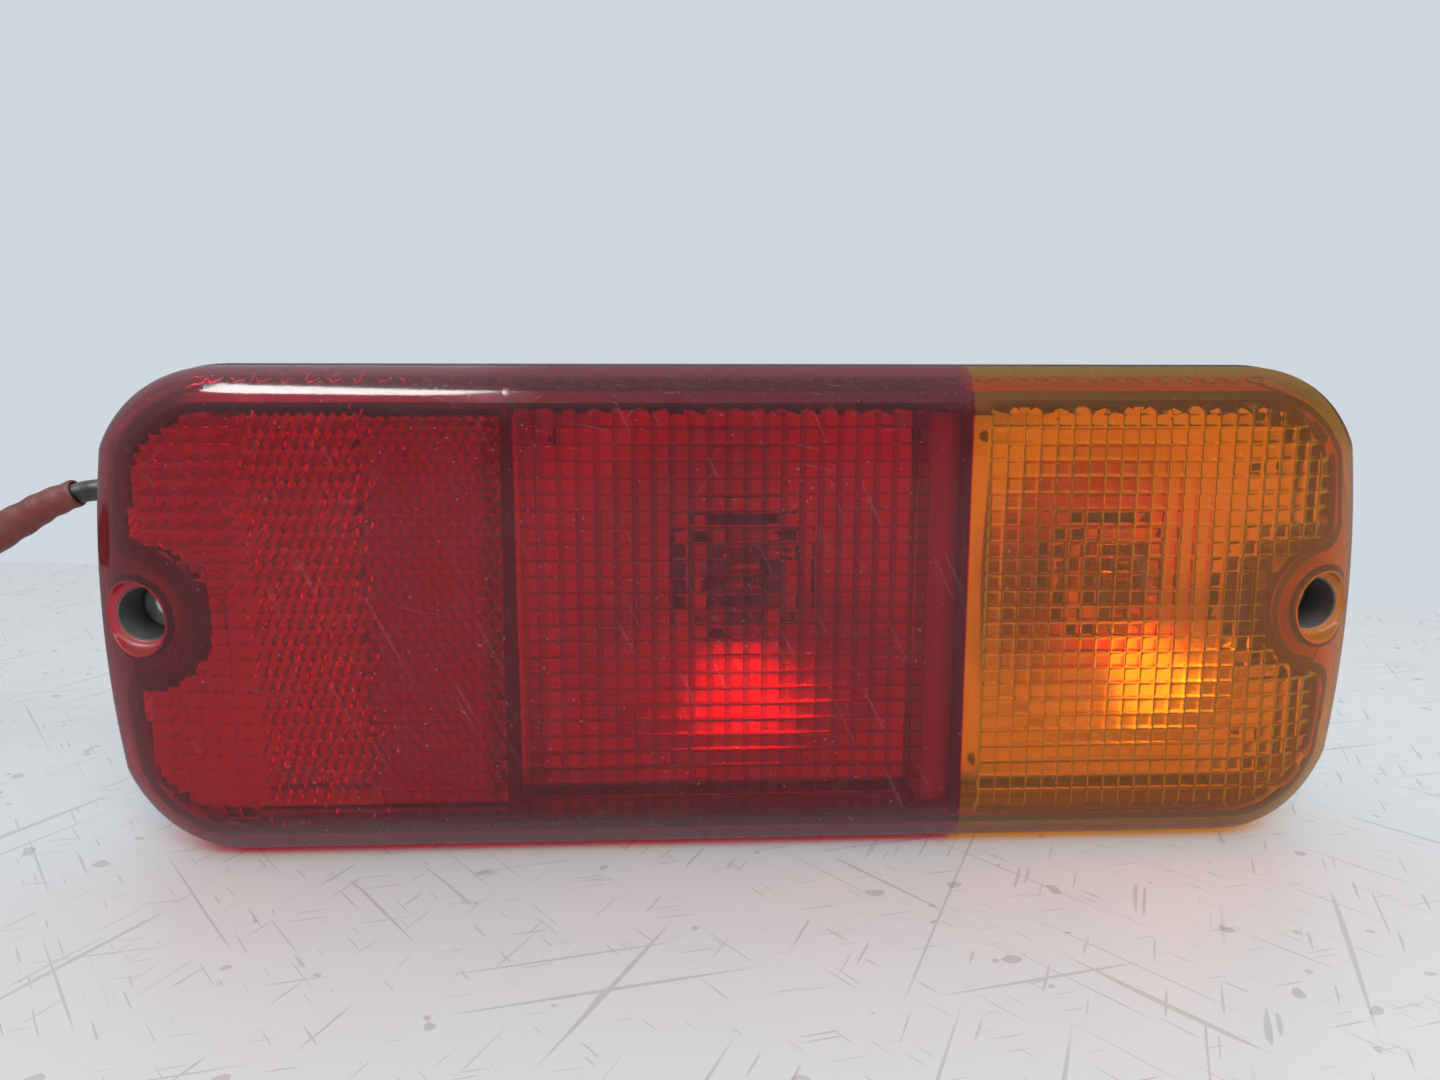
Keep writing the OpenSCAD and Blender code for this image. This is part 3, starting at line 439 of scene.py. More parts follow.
RED = (0.86, 0.07, 0.17)
AMB = (0.985, 0.64, 0.012)
M = {
    "red_out": lens_material("red_lens_outer", RED, (0.42, 0.020, 0.042), (0.50, 0.43, 0.48), True, 0.14),
    "red_in": lens_material("red_lens_inner", RED, (0.42, 0.035, 0.05), (0.5, 0.4, 0.4), False, painted_shade_and_glints=True),
    "amb_out": lens_material("amber_lens_outer", AMB, (0.80, 0.22, 0.004), (0.50, 0.43, 0.32), True, 0.17),
    "amb_in": lens_material("amber_lens_inner", AMB, (0.62, 0.17, 0.012), (0.5, 0.4, 0.3), False),
    "red_tunnel": surface("red_tunnel_wall", (0.44, 0.014, 0.026), 0.42, var=0.25, dust=0.16, bump=0.15, edge=0),
    "amb_tunnel": surface("amber_tunnel_wall", (0.55, 0.17, 0.012), 0.42, var=0.25, dust=0.16, bump=0.15, edge=0),
    "red_strip": surface("red_strip", (0.34, 0.012, 0.02), 0.4, var=0.2, dust=0.05, bump=0.1, edge=0),
    "foot_red": surface("lens_foot_red", (0.13, 0.010, 0.016), 0.4, var=0.2, dust=0.15, bump=0.1, edge=0),
    "foot_amb": surface("lens_foot_amber", (0.46, 0.14, 0.025), 0.4, var=0.2, dust=0.15, bump=0.1, edge=0),
    "gate": surface("gate_mark_red", (0.26, 0.07, 0.10), 0.3, var=0.2, dust=0.3, bump=0.2, edge=0),
    "amb_strip": surface("amber_strip", (0.50, 0.13, 0.01), 0.4, var=0.2, dust=0.05, bump=0.1, edge=0),
    "dark_red": surface("rib_dark_red", (0.020, 0.006, 0.008), 0.38, var=0.2, dust=0.1, bump=0.12, edge=0),
    "dark_amb": surface("rib_dark_amber", (0.040, 0.014, 0.010), 0.38, var=0.2, dust=0.1, bump=0.12, edge=0),
    "seal_cord": surface("seal_cord", (0.020, 0.016, 0.017), 0.6, dust=0.12, bump=0.3, edge=0),
    "metallised": surface("metallised", (0.84, 0.84, 0.83), 0.24, metal=1.0, var=0.05, dust=0.10, bump=0.10, depth=0.00010, scratch=0.1, edge=0),
    "reflex": surface("reflex_red", (0.62, 0.10, 0.12), 0.17, metal=0.85, var=0.10, dust=0.02, bump=0.05, scratch=0.0, edge=0, coat=0.5),
    "housing": surface("housing_plastic", (0.105, 0.107, 0.110), 0.52, var=0.2, dust=0.35, bump=0.35, scratch=0.3),
    "backing": surface("backing_plastic", (0.55, 0.05, 0.06), 0.45, dust=0.1),
    "foam": surface("gasket_foam", (0.018, 0.018, 0.018), 0.85, var=0.3, grain=2600, bump=0.8, depth=0.00025, dust=0.25, scratch=0),
    "zinc": surface("zinc_steel", (0.56, 0.60, 0.56), 0.38, metal=0.95, var=0.1, dust=0.2, stain=(0.30, 0.24, 0.17)),
    "rubber": surface("black_rubber", (0.015, 0.015, 0.015), 0.68, var=0.3, dust=0.35, bump=0.4, scratch=0.1),
    "holder": surface("holder_plastic", (0.030, 0.030, 0.032), 0.45, var=0.2, dust=0.3),
    "silicone": surface("silicone_seal", (0.42, 0.11, 0.05), 0.5, dust=0.2, scratch=0),
    "bayonet": surface("bayonet_brass", (0.66, 0.62, 0.46), 0.32, metal=0.95, stain=(0.25, 0.18, 0.09)),
    "phenolic": surface("phenolic", (0.16, 0.06, 0.025), 0.5, dust=0.1),
    "contact": surface("contact_brass", (0.75, 0.53, 0.22), 0.30, metal=1.0, stain=(0.3, 0.18, 0.08)),
    "spring": surface("spring_steel", (0.52, 0.52, 0.52), 0.28, metal=1.0, edge=0),
    "clear_glass": glass("clear_glass"),
    "amber_glass": glass("amber_glass", (1.0, 0.55, 0.12)),
    "bulb_brass": surface("bulb_brass", (0.72, 0.62, 0.38), 0.28, metal=1.0, stain=(0.30, 0.20, 0.10), dust=0.1),
    "black_glass": surface("black_glass", (0.012, 0.012, 0.016), 0.15, dust=0.1, bump=0.08),
    "solder": surface("solder", (0.62, 0.62, 0.60), 0.33, metal=1.0, bump=0.5, edge=0),
    "lead": surface("lead_wire", (0.45, 0.44, 0.42), 0.3, metal=1.0, edge=0),
    "tungsten": surface("tungsten", (0.32, 0.32, 0.33), 0.35, metal=1.0, edge=0),
    "wire_black": surface("wire_black", (0.016, 0.016, 0.016), 0.42, dust=0.3, edge=0),
    "wire_green": surface("wire_green", (0.022, 0.15, 0.055), 0.42, dust=0.3, edge=0),
    "wire_brown": surface("wire_brown", (0.17, 0.06, 0.022), 0.42, dust=0.3, edge=0),
    "wire_white": surface("wire_white", (0.62, 0.60, 0.55), 0.42, dust=0.35, edge=0),
    "pvc": surface("black_pvc", (0.013, 0.013, 0.014), 0.42, var=0.3, dust=0.4, bump=0.3, edge=0),
    "sleeve": surface("red_sleeve", (0.23, 0.026, 0.020), 0.62, var=0.5, dust=0.42, dust_col=(0.23, 0.22, 0.19), stain=(0.06, 0.075, 0.06), bump=0.7, depth=0.0002, edge=0),
    "conn": surface("connector_plastic", (0.020, 0.020, 0.021), 0.42, dust=0.3),
    "seal_green": surface("seal_green", (0.05, 0.17, 0.09), 0.5, dust=0.15),
    "tin": surface("tin", (0.68, 0.66, 0.58), 0.3, metal=1.0, stain=(0.4, 0.32, 0.2)),
}
NODE_MAT = {
    "rear_housing": "housing", "mounting_gasket": "foam", "screw_sleeves": "zinc", "vent_elbows": "rubber", "reflex_backing_plate": "backing",
    "cable_clip": "conn", "sheath_grommet": "rubber", "connector_housing": "conn", "connector_latch": "conn", "connector_seal": "seal_green",
    "connector_terminals": "tin", "stop_filament": "tungsten", "tail_filament": "tungsten", "turn_filament": "tungsten",
    "stop_bulb_tips": "solder", "turn_bulb_tip": "solder",
}
for s in ("stop", "turn"):
    NODE_MAT.update({s + "_holder": "holder", s + "_holder_seal": "silicone", s + "_holder_boot": "rubber", s + "_socket_shell": "bayonet",
                     s + "_contact_disc": "phenolic", s + "_contacts": "contact", s + "_contact_spring": "spring", s + "_bulb_cap": "bulb_brass",
                     s + "_bulb_insulator": "black_glass", s + "_bulb_stem": "clear_glass", s + "_bulb_leads": "lead",
                     s + "_bulb_glass": "clear_glass" if s == "stop" else "amber_glass"})
for name, key in NODE_MAT.items():
    N[name].data.materials.clear()
    N[name].data.materials.append(M[key])


# ------------------------------------------------------------------ lens
def in_hole(x, z, r):
    return math.hypot(abs(x) - HX, z) < r


def ear_free(x, z, o):
    """signed room inside the sealing line, about o mm from it"""
    a, b, r = LA - o, LB - o, 24 - o
    qx, qz = abs(x) - a + r, abs(z) - b + r
    rr = math.hypot(max(qx, 0), max(qz, 0)) + min(max(qx, qz), 0) - r
    d = min(-rr, a - BOW + math.sqrt(BOW * BOW - z * z) - abs(x))
    e = math.hypot(abs(x) - HX, z) - EAR - o
    if abs(x) > HX:
        e = abs(z) - EAR - o
    return min(d, e)


def optics(x, z):
    """how far the moulded optics stand in from the inner skin: square pillows with a groove round each"""
    if abs(x) > 125.5 or ear_free(x, z, 4.0 if x > JOINT else 4.6) < 0:
        return 0.0
    if REFLEX + 2.4 < x < JOINT - 8.2:
        x0, kind, w = REFLEX + 2.4, 1, PR
    elif JOINT + 4.2 < x < 125.5:
        x0, kind, w = JOINT + 4.2, 2, P
    elif x < -100.5:
        x0, kind, w = -100.5 - 8 * P, 3, P
    else:
        return 0.0
    cu, cv = (x - x0) / w, (z + 41.9) / P
    iu, iv = math.floor(cu + 1e-6), math.floor(cv + 1e-6)
    u, v = cu - iu, cv - iv
    cx, cz = x0 + (iu + 0.5) * w, -41.9 + (iv + 0.5) * P
    if ear_free(cx, cz, 4.4 if kind == 2 else 5.6) < 0:                     # the staircase of plain cells along the sealing line
        return 0.0
    pu, pv = (2 * u - 1), (2 * v - 1)
    edge = min(u, 1 - u, v, 1 - v)
    groove = (0.34 if kind == 1 else 0.42) * max(0.0, 1 - edge / 0.075)
    if kind == 3:
        return 0.72 - 0.26 * pu * pu - 0.26 * pv * pv - 0.6 * groove
    tu = max(-1.0, min(1.0, (cx - (STOP_X if kind == 1 else TURN_X)) / 32.0))
    tv = max(-1.0, min(1.0, (cz - BZ) / 32.0))
    lean = 0.14 * tu * (u - 0.5) + 0.08 * tv * (v - 0.5)
    return 0.74 - 0.17 * pu * pu - 0.08 * pv * pv + lean - groove


def fill(ring0, holes, extra, keep, f):
    """triangles over the area between a ring and holes; extra holds loose points"""
    pts, edges = [], []

    def loop(q):
        k = len(pts)
        pts.extend(q)
        edges.extend((k + i, k + (i + 1) % len(q)) for i in range(len(q)))

    loop(ring0)
    for h in holes:
        loop(h)
    k = len(pts)
    line = [(JOINT, (B0 - 2.42) * math.sin(math.pi / 2 * (i / 70.0 - 1))) for i in range(141)]
    pts.extend(line)
    edges.extend((k + i, k + i + 1) for i in range(140))
    pts.extend(extra)
    v, e, t, *_ = delaunay_2d_cdt([Vector(p) for p in pts], edges, [], 0, 1e-6)
    V = [(p.x, f(p.x, p.y), p.y) for p in v]
    T = []
    for tri in t:
        c = (sum(v[i].x for i in tri) / 3, sum(v[i].y for i in tri) / 3)
        if keep(*c):
            a = (v[tri[1]] - v[tri[0]]).cross(v[tri[2]] - v[tri[0]])
            T.append(tuple(tri) if a > 0 else tuple(reversed(tri)))
    return V, T


def circle(cx, cz, r, n=96):
    return [(cx + r * math.cos(2 * math.pi * i / n), cz + r * math.sin(2 * math.pi * i / n)) for i in range(n)]


out_steps = [0, 0.02, 0.08, 0.18, 0.33, 0.53, 0.8, 1.1, 1.45, 1.9, 2.4]
in_steps = [2.4, 2.42, 2.5, 2.62, 2.8, 3.05, 3.4]


def clip_side(V, T, red):
    used, F = {}, []
    out = []
    for t in T:
        xs = [V[i][0] for i in t]
        if (min(xs) >= JOINT - 1e-4) if red else (max(xs) <= JOINT + 1e-4):
            continue
        f = []
        for i in t:
            if i not in used:
                used[i] = len(out)
                x, y, z = V[i]
                out.append((min(x, JOINT - 0.01) if red else max(x, JOINT + 0.01), y, z))
            f.append(used[i])
        F.append(tuple(f))
    return out, F


def strips(rings, flip):
    V = [p for r in rings for p in r]
    m = len(rings[0])
    F = []
    for i in range(len(rings) - 1):
        for j in range(m):
            q = (i * m + j, i * m + (j + 1) % m, (i + 1) * m + (j + 1) % m, (i + 1) * m + j)
            F.append(q[::-1] if flip else q)
    return V, F


# outer skin
extra = []
for d in (3.0, 3.8, 4.8, 6.0, 7.4, 8.9, 10.5, 12.5):
    extra += [p for p in oval(d)[::2] if not in_hole(p[0], p[1], TUN + 0.4)]
for ix in range(-61, 62):
    for iz in range(-19, 20):
        x, z = ix * 2.0, iz * 1.9
        if inset(x, z) > 13.5 and not in_hole(x, z, TUN + 1):
            extra.append((x, z))
for s in (-1, 1):
    for r in (TUN + 0.5, TUN + 1.3):
        extra += [p for p in circle(s * HX, 0, r) if inset(*p) > 2.9]
holes = [circle(s * HX, 0, TUN) for s in (-1, 1)]
oV, oT = fill(oval(2.4), holes, extra, lambda x, z: inset(x, z) > 2.39 and not in_hole(x, z, TUN), lambda x, z: y_out(x, z))
rings = [[(x, RIM - 0.2, z) for x, z in oval(0)], [(x, (RIM - 0.2 + y_out(x, z, 0)) / 2, z) for x, z in oval(0)]]
rings += [[(x, y_out(x, z, d), z) for x, z in oval(d)] for d in out_steps]
sV, sT = strips(rings, False)
# inner skin with its optics
extra = []
for d in (4.0, 4.8, 5.8, 7.0, 8.4, 10.0, 11.5):
    extra += [p for p in oval(d)[::2] if not in_hole(p[0], p[1], TUN + 2)]
sub = [0.0, 0.075, 0.25, 0.5, 0.75, 0.925]
cols = []
for x0, x1 in ((REFLEX + 2.4, JOINT - 8.2), (JOINT + 4.2, 125.5), (-100.5 - 8 * P, -100.5 + 0.1)):
    for k in range(int((x1 - x0) / P + 0.001)):
        cols += [x0 + (k + s) * P for s in sub]
cols += [x for x in np.arange(-98, -49, 3.0)] + [REFLEX - 1.2, REFLEX + 1.2, JOINT - 6, JOINT - 3, JOINT + 1.5, JOINT + 3]
rows = [-41.9 + (k + s) * P for k in range(25) for s in sub]
for x in cols:
    coarse = -99 < x < -49
    for z in (rows[::6] if coarse else rows):
        if inset(x, z) > 11.8 or (inset(x, z) > 4 and ear_free(x, z, 4.4) > 0):
            if not in_hole(x, z, TUN + 2):
                extra.append((x, z))
holes = [circle(s * HX, 0, TUN + 1.6) for s in (-1, 1)]
iV, iT = fill(oval(3.4), holes, extra, lambda x, z: inset(x, z) > 3.39 and not in_hole(x, z, TUN + 1.6), lambda x, z: y_in(x, z) + optics(x, z))
rings = [[(x, RIM - 1.2, z) for x, z in oval(2.4)]] + [[(x, y_in(x, z, d), z) for x, z in oval(d)] for d in in_steps]
kV, kT = strips(rings, True)
iT = [t[::-1] for t in iT]
# rim between the two skins
rimV, rimT = strips([[(x, RIM - 0.2, z) for x, z in oval(0)], [(x, RIM - 0.2, z) for x, z in oval(2.4)], [(x, RIM - 1.2, z) for x, z in oval(2.4)]], True)


def tunnel(s):
    """the screw hole through the lens: rounded mouth, bore, shoulder in front of the boss, and the tube behind the inner skin"""
    n = 96
    V, F = [], []

    def row(r, y):
        for k in range(n):
            a = 2 * math.pi * k / n
            x, z = s * HX + r * math.cos(a), r * math.sin(a)
            V.append((x, y(x, z), z))

    row(TUN + 0.45, lambda x, z: y_out(x, z))
    row(TUN + 0.12, lambda x, z: y_out(x, z) + 0.12)
    row(TUN, lambda x, z: y_out(x, z) + 0.40)
    row(TUN - 0.15, lambda x, z: min(-14.9, y_out(x, z) + 2.6))
    row(TUN - 0.45, lambda x, z: -14.55)
    row(6.35, lambda x, z: -14.22)
    row(5.95, lambda x, z: -14.12)
    row(5.85, lambda x, z: -14.02)
    m = len(V) // n
    for i in range(m - 1):
        for k in range(n):
            F.append((i * n + k, (i + 1) * n + k, (i + 1) * n + (k + 1) % n, i * n + (k + 1) % n))
    c = len(V)
    row(TUN + 1.6, lambda x, z: RIM - 1.2)
    row(TUN + 1.6, lambda x, z: max(-14.0, y_in(x, z) + 0.02))
    row(TUN + 1.6, lambda x, z: y_in(x, z) + 0.02)
    for i in range(2):
        for k in range(n):
            F.append((c + i * n + k, c + (i + 1) * n + k, c + (i + 1) * n + (k + 1) % n, c + i * n + (k + 1) % n))
    return V, F


def join(parts):
    V, F, mats = [], [], []
    for v, f, mi in parts:
        k = len(V)
        V += list(v)
        F += [tuple(i + k for i in q) for q in f]
        mats += [mi] * len(f)
    return V, F, mats


for red in (True, False):
    parts = []
    for (v, f), mi in (((oV, oT), 0), ((sV, sT), 0), ((iV, iT), 1), ((kV, kT), 1), ((rimV, rimT), 0)):
        v2, f2 = clip_side(v, f, red)
        parts.append((v2, f2, mi))
    v2, f2 = tunnel(-1 if red else 1)
    parts.append((v2, f2, 2))
    V, F, mi = join(parts)
    o = make("red_lens_shell" if red else "amber_lens_shell", V, F, M["red_out" if red else "amb_out"],
             replaces=["red_lens" if red else "amber_lens"])
    o.data.materials.append(M["red_in" if red else "amb_in"])
    o.data.materials.append(M["red_tunnel" if red else "amb_tunnel"])
    if len(o.data.polygons) == len(mi):
        o.data.polygons.foreach_set("material_index", mi)

# the ribs behind the lens: sealing land with its cord, divider and joint walls
def ribbon(o0, o1, dy, y1, red):
    a, b = land_path(o0), land_path(o1)
    n = len(a)
    rows_ = []
    for t in (0.0, 0.5, 1.0):
        rows_.append([((1 - t) * p[0] + t * q[0], None, (1 - t) * p[1] + t * q[1]) for p, q in zip(a, b)])
    ring = [[(x, y1, z) for x, _, z in rows_[0]]] + [[(x, y_in(x, z) + dy, z) for x, _, z in r] for r in rows_] + [[(x, y1, z) for x, _, z in rows_[-1]]]
    V = [p for r in ring for p in r]
    F = []
    for i in range(len(ring) - 1):
        for j in range(n):
            q = (i * n + j, i * n + (j + 1) % n, (i + 1) * n + (j + 1) % n, (i + 1) * n + j)
            cx = sum(V[k][0] for k in q) / 4
            if (cx < JOINT) == red:
                F.append(q)
    return V, F


def land_line(o0, o1, dy, red):
    """the thin dark line of the sealing land, just in front of the inner skin"""
    a, b = land_path(o0), land_path(o1)
    n = len(a)
    V = [(x, y_in(x, z) + dy, z) for t in (0.0, 0.5, 1.0) for x, z in (((1 - t) * p[0] + t * q[0], (1 - t) * p[1] + t * q[1]) for p, q in zip(a, b))]
    F = []
    for i in range(2):
        for j in range(n):
            q = (i * n + j, i * n + (j + 1) % n, (i + 1) * n + (j + 1) % n, (i + 1) * n + j)
            if (sum(V[k][0] for k in q) / 4 < JOINT) == red:
                F.append(q)
    return V, F


for red in (True, False):
    V, F, _ = join([ribbon(0.9, 3.7, 2.6, RIM - 0.1, red) + (0,), land_line(1.0, 2.9 if red else 2.5, -0.7, red) + (0,)])
    make("seal_land_red" if red else "seal_land_amber", V, F, M["dark_red" if red else "dark_amb"], replaces=["lens_seal"] if red else ())


fV, fT = fill(oval(2.5), [land_path(0.8), circle(-HX, 0, TUN + 1.7), circle(HX, 0, TUN + 1.7)],
              [p for d in (3.6, 5.0) for p in oval(d)[::3]],
              lambda x, z: inset(x, z) > 2.5 and ear_free(x, z, 0.75) < 0 and not in_hole(x, z, TUN + 1.69),
              lambda x, z: min(y_in(x, z) + 3.2, RIM - 0.4))
for red in (True, False):
    V, F = clip_side(fV, fT, red)
    make("lens_foot_red" if red else "lens_foot_amber", V, F, M["foot_red" if red else "foot_amb"])


def wall_piece(name, x0, x1, z0, z1, dy, y1, key, flare=0.0):
    n = 40
    V, F = [], []
    for k in range(n + 1):
        z = z1 + (z0 - z1) * k / n
        g = flare * k / n
        for x, back in ((x0 - g, 1), (x0 - g, 0), ((x0 + x1) / 2, 0), (x1 + g, 0), (x1 + g, 1)):
            V.append((x, y1 if back else y_in(x, z) + dy, z))
    for k in range(n):
        for j in range(4):
            F.append((k * 5 + j, k * 5 + j + 1, (k + 1) * 5 + j + 1, (k + 1) * 5 + j))
    return make(name, V, F, M[key])


gV, gF = [], []
for i in range(7):
    t = i / 6.0
    for k in range(32):
        a = 2 * math.pi * k / 32
        x, z = -47.4 + 0.95 * t * math.cos(a), 45.4 + 0.95 * t * math.sin(a)
        gV.append((x, y_out(x, z) - 0.22 * (1 - t ** 4) + 0.02, z))
for i in range(6):
    for k in range(32):
        gF.append((i * 32 + k, i * 32 + (k + 1) % 32, (i + 1) * 32 + (k + 1) % 32, (i + 1) * 32 + k))
make("gate_mark", gV, gF, M["gate"])

wall_piece("divider_rib", REFLEX - 0.9, REFLEX + 0.9, -LB + 2.2, LB - 2.2, 0.3, RIM - 0.2, "dark_red", 0.7)
wall_piece("joint_strip", JOINT - 8.0, JOINT - 1.5, -LB + 4.6, LB - 4.6, 3.2, RIM - 0.2, "red_strip")
wall_piece("joint_rib", JOINT - 1.3, JOINT + 0.35, -LB + 2.2, LB - 2.2, 0.3, RIM - 0.2, "dark_red")


# ------------------------------------------------------------------ bowls
def bowl(name, x0, x1, f, xc, node):
    """metallised bowl: a parabola round the bulb that rolls over into the plate"""
    top, vtx = RIM + 0.6, 8.0
    na, nr = 288, 64
    V, F = [], []
    reach = []
    for k in range(na):
        a = 2 * math.pi * k / na
        dx, dz = math.cos(a), math.sin(a)
        t = 15.6
        while x0 < xc + (t + 0.25) * dx < x1 and ear_free(xc + (t + 0.25) * dx, BZ + (t + 0.25) * dz, 5.0) > 0:
            t += 0.25
        reach.append(t)
    for i in range(nr + 1):
        for k in range(na):
            a = 2 * math.pi * k / na
            r = 15.5 + (reach[k] - 15.5) * i / nr
            y = vtx - r * r / (4 * f)
            w = 5.0
            d = (y - top) / w
            y = top + w * (math.log1p(math.exp(min(d, 30.0))) - 0.02)
            V.append((xc + r * math.cos(a), min(y, vtx - 1.5), BZ + r * math.sin(a)))
    for i in range(nr):
        for k in range(na):
            F.append((i * na + k, i * na + (k + 1) % na, (i + 1) * na + (k + 1) % na, (i + 1) * na + k))
    return make(name, V, F, M["metallised"], replaces=[node])


bowl("stop_bowl", REFLEX + 0.6, JOINT - 1.6, 18.0, STOP_X, "stop_reflector")
bowl("turn_bowl", JOINT + 1.6, 125.0, 14.0, TURN_X, "turn_reflector")


# ------------------------------------------------------------------ reflex panel: corner cubes, and slanting ones beside them
def cubes(x0, x1, pitch, sx, sz, shear, depth, y, jitter):
    V, F = [], []
    hw = pitch * sx * 0.5
    rh = pitch * sz * 0.5 / math.cos(math.radians(30))
    row = 0
    z = -LB + 5.6
    while z < LB - 5.6:
        off = hw if row % 2 else 0.0
        x = x0 + off
        while x < x1:
            if ear_free(x, z, 5.6) > 0.6:
                j = [jitter * (rng.random() - 0.5) for _ in range(3)]
                k = len(V)
                V.append((x + shear * 0, y + depth + j[0], z))
                for i in range(6):
                    a = math.radians(90 + 60 * i)
                    px, pz = hw / math.cos(math.radians(30)) * math.cos(a), rh * math.sin(a)
                    V.append((x + px + shear * pz, y + (depth * 0.5 if i % 2 else 0.0) + (j[1] if i % 2 else j[2]), z + pz))
                for i in range(6):
                    F.append((k, k + 1 + i, k + 1 + (i + 1) % 6))
            x += 2 * hw
        z += rh * 1.5
        row += 1
    return V, F


yp = -18.9
pv, pf = cubes(-76.6, REFLEX - 2.4, 2.5, 1.0, 1.0, 0.0, 1.1, yp, 0.10)
qv, qf = cubes(-100.0, -77.6, 2.2, 1.0, 1.75, 0.28, 1.0, yp, 0.22)
V, F, mi = join([(pv, pf, 0), (qv, qf, 0)])
gx = [-124.6 + 1.2 * i for i in range(64)]
gz = [-41.0 + 1.2 * i for i in range(69)]
k = len(V)
idx = {}
for i, x in enumerate(gx):
    for j, z in enumerate(gz):
        idx[i, j] = len(V)
        V.append((min(x, REFLEX - 1.7), yp + 1.9 + 0.12 * math.sin(2.1 * x) * math.sin(1.9 * z), z))
for i in range(len(gx) - 1):
    for j in range(len(gz) - 1):
        if ear_free((gx[i] + gx[i + 1]) / 2, (gz[j] + gz[j + 1]) / 2, 5.2) > 0:
            F.append((idx[i, j], idx[i + 1, j], idx[i + 1, j + 1], idx[i, j + 1]))
make("reflex_panel", V, F, M["reflex"], replaces=["reflex_prism_panel"], smooth=False)

# ------------------------------------------------------------------ cable
CLIP = -100.0
sheath = smooth_path([(-48, 40, 24), (-62, 32, 24.3), (-78, 21, 24.6), (-90, 17.2, 24.5), (CLIP, 16.5, 24.3), (-110, 16.3, 24), (-124, 16, 23.6),
                      (-138, 15.5, 23.2), (-148, 15, 22.6), (-156, 14.4, 20.6)], 16)
sleeve = smooth_path([(-151.5, 14.8, 22.1), (-158, 14.2, 19.4), (-165, 13.4, 15.4), (-174, 12.6, 10.4), (-184, 12, 7.2)], 20)
V, F = tube(sheath, lambda i, a: 2.45 + 0.05 * math.sin(i * 0.9) * math.sin(3 * a) - (0.25 if i > 138 else 0), 32, inner=1.82)
make("sheath_skin", V, F, M["pvc"], replaces=["cable_sheath"])


def sleeve_r(i, a):
    t = i / (len(sleeve) - 1)
    return 3.4 + 0.9 * t + 0.28 * math.sin(2 * a + 1.3 + 3 * t) + 0.12 * math.sin(5 * a + i * 0.25) * t + 0.10 * math.sin(i * 0.55)


V, F = tube(sleeve, sleeve_r, 40, inner=lambda i, a: sleeve_r(i, a) - 0.55)
make("sleeve_skin", V, F, M["sleeve"], replaces=["red_sleeve"])

core = smooth_path([(-48, 40, 24), (-62, 32, 24.3), (-78, 21, 24.6), (-90, 17.2, 24.5), (CLIP, 16.5, 24.3), (-110, 16.3, 24), (-124, 16, 23.6),
                    (-138, 15.5, 23.2), (-148, 15, 22.6), (-156, 14.4, 20.6)], 4)
turn_run = [(TURN_X, 47.2, BZ), (TURN_X, 52, BZ), (TURN_X - 6, 57.5, BZ + 1.5), (64, 58, 10), (44, 56, 17), (22, 52, 22.5), (0, 48, 25), (-22, 45, 25.4)]
stop_run = [(STOP_X, 47.2, BZ), (STOP_X, 52, BZ), (STOP_X - 6, 57.5, BZ + 1.2), (-20, 54, 10), (-34, 47, 17.5)]
tail_run = [(-156, 14.4, 20.6), (-165, 13.4, 15.4), (-174, 12.6, 10.4), (-184, 12, 7.2), (-192, 12, 6.2), (-196, 12, 6), (-200, 12, 6)]
quad = [(0.74, 0.74), (-0.74, 0.74), (0.74, -0.74), (-0.74, -0.74)]
pins = [(2.6, 2.6), (-2.6, 2.6), (2.6, -2.6), (-2.6, -2.6)]


def wire(name, run, k, n0, b0, key, node):
    head = smooth_path(run + [tuple(core[0])], 4)[:-1]
    whole = head + core + smooth_path(tail_run, 4)[1:]
    fr = frames(whole)
    nl, nw = len(head), len(whole)
    path = []
    for i in range(nw):
        u = i / nl if i < nl else 1.0
        v = 0.0 if i < nw - 9 else (i - nw + 9) / 8.0
        n = (n0 + (quad[k][0] - n0) * u) * (1 - v) + pins[k][0] * v
        b = (b0 + (quad[k][1] - b0) * u) * (1 - v) + pins[k][1] * v
        path.append(whole[i] + n * fr[i][1] + b * fr[i][2])
    fine = smooth_path(path, 3)
    V, F = tube(fine, 0.70, 16)
    make(name, V, F, M[key], replaces=[node])


wire("ground_lead", turn_run, 0, 0.9, 0.9, "wire_black", "ground_wire")
wire("turn_lead", turn_run, 1, -0.9, 0.9, "wire_green", "turn_wire")
wire("tail_lead", stop_run, 2, 0.9, -0.9, "wire_brown", "tail_wire")
wire("stop_lead", stop_run, 3, -0.9, -0.9, "wire_white", "stop_wire")


# ------------------------------------------------------------------ floor, light, camera
def floor_material():
    t = Tree("pale_floor")
    big, mid = t.noise(5, 5), t.noise(60, 5)
    s = t.scratches(520, -0.04, 1.0, "Z", 0.02)
    s2 = t.scratches(1100, -0.03, 5.0, "Z", 0.05)
    col = t.mixc(t.math("MULTIPLY", big, 0.8), (0.895, 0.895, 0.885), (0.93, 0.925, 0.91))
    col = t.mixc(t.math("MULTIPLY", t.math("MAXIMUM", s, s2), 0.35), col, (0.32, 0.31, 0.29))
    col = t.mixc(t.math("MULTIPLY", t.math("GREATER_THAN", t.noise(160, 1), 0.73), 0.35), col, (0.3, 0.28, 0.25))
    b = t.n("BsdfPrincipled", Base__Color=col, Roughness=t.math("ADD", t.math("MULTIPLY", mid, 0.2), 0.30), Normal=t.bump(t.math("ADD", mid, s), 0.08, 0.0004))
    t.link(b.outputs[0], t.out, 0)
    return t.m


